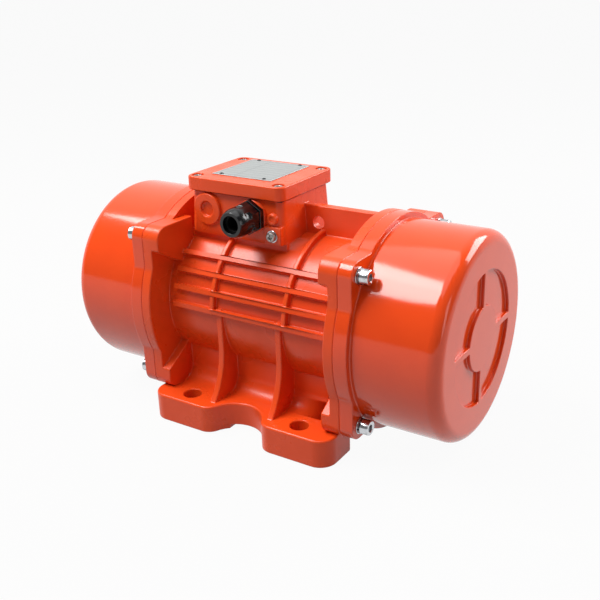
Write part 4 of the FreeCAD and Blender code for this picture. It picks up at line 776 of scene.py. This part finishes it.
def turned_tree(name: str, rings: Sequence[Ring], facets: int = 72,
                knurl_depth: float = 0.035, arm_share: float = 0.34,
                arm_reach: float = 0.96, weld: float = 0.025 * MM) -> bpy.types.NodeTree:
    """Make a tree that turns a piece from rings and sets one on every point.

    Args:
        name: The tree's name.
        rings: The rings from the inner end outwards; the last one closes the piece.
        facets: Points round each ring.
        knurl_depth: Depth of the knurl as a share of the radius.
        arm_share: Half the width of a cross recess's arm as a share of the radius.
        arm_reach: How far such an arm reaches, as a share of the radius.
        weld: Points closer than this become one, which closes the poles.

    Returns:
        The tree.
    """
    maker = TreeMaker(name, TURNED_SIZES)

    def steps(operation: str, *values: object) -> bpy.types.NodeSocket:
        """Add one step of arithmetic."""
        return maker.add("ShaderNodeMath", {"operation": operation},
                         dict(enumerate(values))).outputs[0]

    def vectors(operation: str, *values: object) -> bpy.types.NodeSocket:
        """Add one step of vector arithmetic."""
        node = maker.add("ShaderNodeVectorMath", {"operation": operation},
                         dict(enumerate(values)))
        return node.outputs["Vector"]

    place = maker.add("GeometryNodeInputPosition").outputs[0]
    unit = vectors("NORMALIZE", vectors("MULTIPLY", place, (1.0, 1.0, 0.0)))
    parts = maker.add("ShaderNodeSeparateXYZ", inputs={"Vector": unit}).outputs
    angle = steps("ARCTAN2", parts[1], parts[0])
    tooth = steps("MULTIPLY_ADD", steps("COSINE", steps("MULTIPLY", angle, facets / 2)),
                  knurl_depth / 2, 1 - knurl_depth / 2)
    sixth = steps("WRAP", angle, math.pi / 6, -math.pi / 6)
    flat = steps("DIVIDE", math.cos(math.pi / 6), steps("COSINE", sixth))
    quarter = steps("WRAP", angle, math.pi / 4, -math.pi / 4)
    least_sine = 0.001
    arm_side = steps("DIVIDE", arm_share, steps("MAXIMUM", steps(
        "ABSOLUTE", steps("SINE", quarter)), least_sine))
    arm = steps("MINIMUM", steps("DIVIDE", arm_reach, steps("COSINE", quarter)), arm_side)
    share = {Outline.ROUND: 1.0, Outline.KNURLED: tooth, Outline.HEXAGON: flat,
             Outline.CROSS: arm}

    def ring_place(ring: Ring) -> bpy.types.NodeSocket:
        """Work out where a ring's points go.

        Args:
            ring: The ring.

        Returns:
            The output that carries their places.
        """
        radius = steps("MULTIPLY", maker.sum_of(ring.radius), share[ring.outline])
        rise = maker.add("ShaderNodeCombineXYZ", inputs={"Z": maker.sum_of(ring.height)})
        return vectors("MULTIPLY_ADD", unit, radius, rise.outputs[0])

    start = maker.add("GeometryNodeMeshCircle", inputs={"Vertices": facets, "Radius": 1.0})
    skin = maker.add("GeometryNodeSetPosition", inputs={
        "Geometry": start.outputs["Mesh"], "Position": ring_place(rings[0])})
    edge_step = None
    for ring in rings[1:]:
        edge_step = maker.add("GeometryNodeExtrudeMesh", {"mode": "EDGES"}, {
            "Mesh": skin.outputs["Geometry"], "Offset Scale": 0.0,
            **({"Selection": edge_step.outputs["Top"]} if edge_step else {})})
        skin = maker.add("GeometryNodeSetPosition", inputs={
            "Geometry": edge_step.outputs["Mesh"], "Selection": edge_step.outputs["Top"],
            "Position": ring_place(ring)})
    whole = maker.add("GeometryNodeMergeByDistance", inputs={
        "Geometry": skin.outputs["Geometry"], "Distance": weld})
    maker.place_and_end(whole.outputs["Geometry"])
    return maker.tree


def split_washer_tree(name: str, facets: int = 56) -> bpy.types.NodeTree:
    """Make a tree that winds a split spring washer and sets one on every point.

    Args:
        name: The tree's name.
        facets: Points along one turn of the wire.

    Returns:
        The tree.
    """
    maker = TreeMaker(name, ("Middle radius", "Wire width", "Wire height", "Rise", "Turns"))
    wind = maker.add("GeometryNodeCurveSpiral", inputs={
        "Resolution": facets, "Rotations": maker.given["Turns"],
        "Start Radius": maker.given["Middle radius"],
        "End Radius": maker.given["Middle radius"], "Height": maker.given["Rise"]})
    upright = maker.add("GeometryNodeSetCurveNormal", {"mode": "Z_UP"}, {
        "Curve": wind.outputs["Curve"]})
    section = maker.add("GeometryNodeCurvePrimitiveQuadrilateral", inputs={
        "Width": maker.given["Wire width"], "Height": maker.given["Wire height"]})
    wire = maker.add("GeometryNodeCurveToMesh", inputs={
        "Curve": upright.outputs["Curve"], "Profile Curve": section.outputs["Curve"],
        "Fill Caps": True})
    lifted = maker.add("GeometryNodeTransform", inputs={
        "Geometry": wire.outputs["Mesh"],
        "Translation": maker.add("ShaderNodeCombineXYZ", inputs={
            "Z": maker.add("ShaderNodeMath", {"operation": "MULTIPLY"}, {
                0: maker.given["Wire height"], 1: 0.5}).outputs[0]}).outputs[0]})
    maker.place_and_end(lifted.outputs["Geometry"])
    return maker.tree


@dataclass
class FastenerSet:
    """Equal screws, rivets or washers that stand on seats along one axis."""

    name: str
    nodes: tuple[str, ...]
    slot: str
    finish: Finish
    tree: bpy.types.NodeTree
    axis: tuple[float, float, float]
    seats: Sequence[Vector]
    sizes: dict[str, float]
    seed: int = 7
    smooth_angle: float = 40.0

    def build(self) -> bpy.types.Object:
        """Build the set as one plain mesh over its CAD nodes.

        Returns:
            The finished piece.
        """
        mesh = bpy.data.meshes.new(self.name)
        mesh.from_pydata([tuple(seat) for seat in self.seats], [], [])
        piece = new_object(self.name, mesh)
        modifier = piece.modifiers.new("fasteners", "NODES")
        modifier.node_group = self.tree
        values = {"Axis": self.axis, "Seed": self.seed, "Material": self.finish.material(),
                  **self.sizes}
        for socket in self.tree.interface.items_tree:
            if socket.in_out == "INPUT" and socket.name in values:
                modifier[socket.identifier] = values[socket.name]
        outward(baked(piece), self.smooth_angle)
        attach(piece, "housing")
        for node in self.nodes:
            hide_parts(node)
        LOG.info("%s: %d pieces, %d faces", self.name, len(self.seats),
                 len(piece.data.polygons))
        return piece


def seats_of(node: str, axis: Sequence[float], drop: float) -> list[Vector]:
    """Find where the heads of a node's screws sit.

    Args:
        node: The CAD node with the screws.
        axis: Direction from the seat to the top of the head.
        drop: Height of the head, from its top down to the seat.

    Returns:
        The seat's centre for each screw.
    """
    way = Vector(axis)
    seats = []
    for low, high in solids_of(node):
        middle = (low + high) / 2
        half_length = abs((high - low).dot(way)) / 2
        seats.append(middle + way * (half_length - drop))
    return seats


@dataclass(frozen=True)
class ScrewSizes:
    """What one kind of screw or rivet keeps wherever it is used.

    The pole is the radius of the last ring at each end, small enough to close to a point.
    """

    edge: float
    shank_radius: float
    recess_radius: float
    recess_depth: float
    pole: float = 0.01 * MM

    def named(self, shank_length: float, head_radius: float,
              head_height: float) -> dict[str, float]:
        """Name the sizes as the inputs of a turned tree are named.

        Args:
            shank_length: Length of the shank below the seat.
            head_radius: Radius of the head.
            head_height: Height of the head above the seat.

        Returns:
            A value for each input that a screw has.
        """
        return {"Pole": self.pole, "Edge": self.edge, "Shank radius": self.shank_radius,
                "Shank length": shank_length, "Head radius": head_radius,
                "Head height": head_height, "Recess radius": self.recess_radius,
                "Recess depth": self.recess_depth}


@dataclass(frozen=True)
class WasherSizes:
    """What one kind of flat washer or plain ring keeps wherever it is used."""

    edge: float
    hole_radius: float

    def named(self, radius: float, height: float) -> dict[str, float]:
        """Name the sizes as the inputs of a turned tree are named.

        Args:
            radius: Radius of the washer.
            height: Its thickness.

        Returns:
            A value for each input that a washer has.
        """
        return {"Edge": self.edge, "Hole radius": self.hole_radius, "Head radius": radius,
                "Head height": height}


@dataclass
class Fasteners:
    """Every screw, rivet and washer that is seen from outside.

    The heads of the lid screws stand lower than their CAD solids by the lid head drop. The
    mark is the ring above the earth screw.
    """

    cap: ScrewSizes = ScrewSizes(edge=0.5 * MM, shank_radius=3.9 * MM,
                                 recess_radius=3.5 * MM, recess_depth=4.2 * MM)
    cap_head: float = 8.0 * MM
    cap_head_radius: float = 6.5 * MM
    flat: WasherSizes = WasherSizes(edge=0.2 * MM, hole_radius=4.3 * MM)
    flat_radius: float = 7.5 * MM
    flat_height: float = 1.2 * MM
    spring_radius: float = 6.8 * MM
    spring_height: float = 1.6 * MM
    spring_wire_share: float = 0.8
    spring_turns: float = 0.965
    lid: ScrewSizes = ScrewSizes(edge=0.35 * MM, shank_radius=2.4 * MM,
                                 recess_radius=2.2 * MM, recess_depth=1.6 * MM)
    lid_head: float = 3.3 * MM
    lid_head_drop: float = 1.1 * MM
    rivet: ScrewSizes = ScrewSizes(edge=0.2 * MM, shank_radius=1.15 * MM,
                                   recess_radius=0.55 * MM, recess_depth=0.5 * MM)
    earth: ScrewSizes = ScrewSizes(edge=0.4 * MM, shank_radius=2.4 * MM,
                                   recess_radius=2.3 * MM, recess_depth=1.8 * MM)
    earth_head: float = 3.5 * MM
    earth_washer: WasherSizes = WasherSizes(edge=0.15 * MM, hole_radius=2.7 * MM)
    mark: WasherSizes = WasherSizes(edge=0.25 * MM, hole_radius=2.6 * MM)
    mark_radius: float = 4.6 * MM
    mark_height: float = 0.8 * MM
    mark_rise: float = 15.4 * MM

    def build(self) -> None:
        """Build all of them."""
        socket_cap = turned_tree("socket_cap_screw", SOCKET_CAP)
        cross_pan = turned_tree("cross_recess_screw", CROSS_PAN)
        rivet = turned_tree("blind_rivet", BLIND_RIVET)
        flat_washer = turned_tree("flat_washer", FLAT_WASHER)
        split_washer = split_washer_tree("split_washer")
        for side, sign in (("right", 1.0), ("left", -1.0)):
            axis = (sign, 0.0, 0.0)
            self.cover_screws(side, axis, socket_cap, flat_washer, split_washer)
        self.lid_screws(cross_pan)
        self.plate_rivets(rivet)
        self.earth_screw(cross_pan, flat_washer)

    def cover_screws(self, side: str, axis: tuple[float, float, float],
                     socket_cap: bpy.types.NodeTree, flat_washer: bpy.types.NodeTree,
                     split_washer: bpy.types.NodeTree) -> None:
        """Build one cover's four screws with their washers.

        Args:
            side: "right" or "left".
            axis: Direction out of the cover.
            socket_cap: Tree of the screws.
            flat_washer: Tree of the flat washers.
            split_washer: Tree of the spring washers.
        """
        way = Vector(axis)
        node = f"{side}_cover_screws"
        heads = seats_of(node, axis, self.cap_head)
        length = max(high.x - low.x for low, high in solids_of(node)) - self.cap_head
        FastenerSet(f"{side}_socket_screws", (node,), "zinc_steel", ZINC_STEEL, socket_cap,
                    axis, heads,
                    self.cap.named(length, self.cap_head_radius, self.cap_head)).build()
        springs = [seat - way * self.spring_height for seat in heads]
        flats = [seat - way * self.flat_height for seat in springs]
        wire = self.spring_radius - self.flat.hole_radius
        thick = self.spring_height * self.spring_wire_share
        FastenerSet(f"{side}_spring_washers", (f"{side}_cover_washers",), "zinc_steel",
                    SPRING_STEEL, split_washer, axis, springs, {
                        "Middle radius": self.flat.hole_radius + wire / 2,
                        "Wire width": wire, "Wire height": thick,
                        "Rise": self.spring_height - thick,
                        "Turns": self.spring_turns}).build()
        FastenerSet(f"{side}_flat_washers", (f"{side}_cover_washers",), "zinc_steel",
                    ZINC_STEEL, flat_washer, axis, flats,
                    self.flat.named(self.flat_radius, self.flat_height)).build()

    def lid_screws(self, cross_pan: bpy.types.NodeTree) -> None:
        """Build the four screws of the terminal box lid.

        Args:
            cross_pan: Tree of the screws.
        """
        up = (0.0, 0.0, 1.0)
        low, high = solids_of("lid_screws")[0]
        FastenerSet("lid_pan_screws", ("lid_screws",), "zinc_steel", DULL_ZINC, cross_pan,
                    up, seats_of("lid_screws", up, self.lid_head),
                    self.lid.named(high.z - low.z - self.lid_head, (high.x - low.x) / 2,
                                   self.lid_head - self.lid_head_drop), seed=11).build()

    def plate_rivets(self, rivet: bpy.types.NodeTree) -> None:
        """Build the rivets of the rating plate.

        Args:
            rivet: Tree of the rivets.
        """
        up = (0.0, 0.0, 1.0)
        low, high = solids_of("rating_plate_rivets")[0]
        sheet_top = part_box("rating_plate")[1][2]
        head = high.z - sheet_top
        FastenerSet("plate_blind_rivets", ("rating_plate_rivets",), "zinc_steel",
                    BLACKENED_STEEL, rivet, up, seats_of("rating_plate_rivets", up, head),
                    self.rivet.named(high.z - low.z - head, (high.x - low.x) / 2, head),
                    seed=3).build()

    def earth_screw(self, cross_pan: bpy.types.NodeTree,
                    flat_washer: bpy.types.NodeTree) -> None:
        """Build the earth screw, its washer and the ring of the earth mark.

        Args:
            cross_pan: Tree of the screw.
            flat_washer: Tree of the washer and the ring.
        """
        out = (0.0, -1.0, 0.0)
        low, high = solids_of("earth_screw")[0]
        FastenerSet("earth_pan_screw", ("earth_screw",), "zinc_steel", DULL_ZINC, cross_pan,
                    out, seats_of("earth_screw", out, self.earth_head),
                    self.earth.named(high.y - low.y - self.earth_head,
                                     (high.x - low.x) / 2, self.earth_head),
                    seed=5).build()
        low, high = solids_of("earth_washer")[0]
        seat = Vector(((low.x + high.x) / 2, high.y, (low.z + high.z) / 2))
        mark = seat + Vector((0.0, 0.0, self.mark_rise))
        FastenerSet("earth_mark_ring", (), "housing_paint", CAST_PAINT, flat_washer, out,
                    [mark], self.mark.named(self.mark_radius, self.mark_height)).build()
        FastenerSet("earth_flat_washer", ("earth_washer",), "zinc_steel", ZINC_STEEL,
                    flat_washer, out, [seat],
                    self.earth_washer.named((high.x - low.x) / 2, high.y - low.y)).build()


@dataclass
class RatingPlate:
    """The bare plate on the lid, with ruled fields and no lettering."""

    edge: float = 0.2 * MM

    def build(self) -> None:
        """Build the plate over its CAD node."""
        low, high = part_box("rating_plate")
        # Rolled aluminium sheet with a silk surface; the etched lines are a darker grey.
        sheet = RuledFinish(
            "etched_aluminium_sheet", "a6a9a8", 0.46, 0.6, mottle="959897", mottle_mm=2.2,
            mottle_share=0.6, grain_mm=1.2, grain_height_mm=0.006, stretch=(0.12, 3.0, 1.0),
            roughness_spread=0.08,
            centre=((low[0] + high[0]) / 2, (low[1] + high[1]) / 2),
            half_size=((high[0] - low[0]) / 2, (high[1] - low[1]) / 2))
        RoundedPiece("rating_plate", "ruled_rating_plate", "plate", sheet, self.edge,
                     segments=2).build()


# ------------------------------------------------------------------ stage, light and camera

@dataclass(frozen=True)
class Panel:
    """A soft rectangular lamp that faces the motor.

    The azimuth is in degrees from straight in front, towards the right, and the elevation in
    degrees above the middle of the motor. The distance and the two sides are in metres.
    """

    name: str
    azimuth: float
    elevation: float
    distance: float
    sides: tuple[float, float]
    watts: float

    def hang(self) -> None:
        """Hang the lamp."""
        light = bpy.data.lights.new(self.name, "AREA")
        light.shape = "RECTANGLE"
        light.size, light.size_y = self.sides
        light.energy = self.watts
        lamp = bpy.data.objects.new(self.name, light)
        bpy.context.scene.collection.objects.link(lamp)
        way = direction(self.azimuth, self.elevation)
        low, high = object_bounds()
        lamp.location = way * self.distance + Vector((0, 0, (low[2] + high[2]) / 2))
        lamp.rotation_euler = way.to_track_quat("Z", "Y").to_euler()


def direction(azimuth: float, elevation: float) -> Vector:
    """Find the direction from the motor towards a place in the studio.

    Args:
        azimuth: Degrees from straight in front, towards the right.
        elevation: Degrees above level.

    Returns:
        The direction, one long.
    """
    az, el = math.radians(azimuth), math.radians(elevation)
    return Vector((math.sin(az) * math.cos(el), -math.cos(az) * math.cos(el), math.sin(el)))


# A wide key from the left, a rim from behind, a weak fill on the right and one overhead.
PANELS = (
    Panel("key_panel", azimuth=-54, elevation=57, distance=1.7, sides=(1.3, 0.64), watts=36),
    Panel("rim_panel", azimuth=140, elevation=32, distance=1.6, sides=(1.0, 0.7), watts=20),
    Panel("side_panel", azimuth=80, elevation=14, distance=2.0, sides=(0.5, 0.9), watts=3),
    Panel("top_panel", azimuth=-20, elevation=84, distance=1.8, sides=(1.8, 1.6), watts=16),
)


@dataclass
class Studio:
    """Floor, backdrop, lamps and camera."""

    eye_mm: tuple[float, float, float] = (427.25, -632.06, 409.55)
    azimuth: float = 32.82
    elevation: float = 21.97
    roll: float = -1.58
    lens_mm: float = 51.676
    sensor_mm: float = 36.0
    shift: tuple[float, float] = (-0.0163, 0.00087)
    floor_half: float = 20.0
    floor_drop: float = 0.2 * MM
    white_share: float = 0.95
    world_level: float = 0.18
    paper: str = "9c9b9a"
    sweep_way: tuple[float, float, float] = (-0.5, 0.86, -0.1)
    sweep_range: tuple[float, float] = (-0.1, 0.5)

    def white_share_of(self, tree: bpy.types.NodeTree, share: float) -> bpy.types.NodeSocket:
        """Find how far a ray sees plain white: camera, glossy and transmission rays do.

        Args:
            tree: The tree to work in.
            share: The most that white may cover.

        Returns:
            The output that carries the share.
        """
        path = add_node(tree, "ShaderNodeLightPath").outputs
        seen = add_node(tree, "ShaderNodeMath", {"operation": "MAXIMUM"}, {
            0: path["Is Camera Ray"], 1: path["Is Glossy Ray"]}).outputs[0]
        seen = add_node(tree, "ShaderNodeMath", {"operation": "MAXIMUM"}, {
            0: seen, 1: path["Is Transmission Ray"]}).outputs[0]
        return add_node(tree, "ShaderNodeMath", {"operation": "MULTIPLY"}, {
            0: seen, 1: share}).outputs[0]

    def floor(self) -> None:
        """Lay the floor: white to the eye, matt paper to the light, clear from below."""
        material = bpy.data.materials.new("studio_paper")
        material.use_nodes = True
        tree = material.node_tree
        tree.nodes.clear()
        paper = add_node(tree, "ShaderNodeBsdfDiffuse", inputs={"Color": linear(self.paper)})
        glow = add_node(tree, "ShaderNodeEmission", inputs={
            "Color": (1, 1, 1, 1), "Strength": 1.0})
        top = add_node(tree, "ShaderNodeMixShader", inputs={
            0: self.white_share_of(tree, self.white_share), 1: paper.outputs[0],
            2: glow.outputs[0]})
        below = add_node(tree, "ShaderNodeNewGeometry").outputs["Backfacing"]
        clear = add_node(tree, "ShaderNodeBsdfTransparent")
        sheet = add_node(tree, "ShaderNodeMixShader", inputs={
            0: below, 1: top.outputs[0], 2: clear.outputs[0]})
        add_node(tree, "ShaderNodeOutputMaterial", inputs={"Surface": sheet.outputs[0]})
        shape = bmesh.new()
        bmesh.ops.create_grid(shape, x_segments=1, y_segments=1, size=self.floor_half,
                              matrix=Matrix.Translation((0, 0, -self.floor_drop)))
        mesh = bpy.data.meshes.new("floor")
        shape.to_mesh(mesh)
        shape.free()
        dress(new_object("floor", mesh), material)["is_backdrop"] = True

    def world(self) -> None:
        """Dim surroundings with a white sweep behind the motor, all white to the camera."""
        world = bpy.data.worlds.new("surroundings")
        bpy.context.scene.world = world
        world.use_nodes = True
        tree = world.node_tree
        tree.nodes.clear()
        way = add_node(tree, "ShaderNodeTexCoord").outputs["Generated"]
        behind = add_node(tree, "ShaderNodeVectorMath", {"operation": "DOT_PRODUCT"}, {
            0: way, 1: self.sweep_way}).outputs["Value"]
        sweep = add_node(tree, "ShaderNodeMapRange", {"interpolation_type": "SMOOTHSTEP"}, {
            "Value": behind, "From Min": self.sweep_range[0],
            "From Max": self.sweep_range[1]}).outputs["Result"]
        camera = add_node(tree, "ShaderNodeLightPath").outputs["Is Camera Ray"]
        mirrored = add_node(tree, "ShaderNodeMath", {"operation": "MULTIPLY"}, {
            0: self.white_share_of(tree, 1.0), 1: sweep}).outputs[0]
        share = add_node(tree, "ShaderNodeMath", {"operation": "MAXIMUM"}, {
            0: camera, 1: mirrored}).outputs[0]
        soft = add_node(tree, "ShaderNodeBackground", inputs={
            "Color": (1, 1, 1, 1), "Strength": self.world_level})
        white = add_node(tree, "ShaderNodeBackground", inputs={
            "Color": (1, 1, 1, 1), "Strength": 1.0})
        mix = add_node(tree, "ShaderNodeMixShader", inputs={
            0: share, 1: soft.outputs[0], 2: white.outputs[0]})
        add_node(tree, "ShaderNodeOutputWorld", inputs={"Surface": mix.outputs[0]})

    def camera(self) -> None:
        """Set the camera."""
        az, roll = math.radians(self.azimuth), math.radians(self.roll)
        back = direction(self.azimuth, self.elevation)
        right = Vector((math.cos(az), math.sin(az), 0))
        up = back.cross(right)
        right, up = (right * math.cos(roll) + up * math.sin(roll),
                     up * math.cos(roll) - right * math.sin(roll))
        camera = bpy.data.cameras.new("camera")
        camera.sensor_width = self.sensor_mm
        camera.lens = self.lens_mm
        camera.shift_x, camera.shift_y = self.shift
        holder = bpy.data.objects.new("camera", camera)
        turn = Matrix((right, up, back)).transposed().to_4x4()
        holder.matrix_world = Matrix.Translation(Vector(self.eye_mm) * MM) @ turn
        bpy.context.scene.collection.objects.link(holder)
        bpy.context.scene.camera = holder

    def build(self) -> None:
        """Build the whole studio."""
        bpy.context.scene.view_settings.view_transform = "Standard"
        self.floor()
        self.world()
        for panel in PANELS:
            panel.hang()
        self.camera()


def main() -> None:
    logging.basicConfig(level=logging.INFO, format="%(message)s")
    dress_inner_nodes()
    Housing().build()
    CableGland().build()
    RatingPlate().build()
    Fasteners().build()
    Studio().build()


if __name__ == "__main__":
    main()
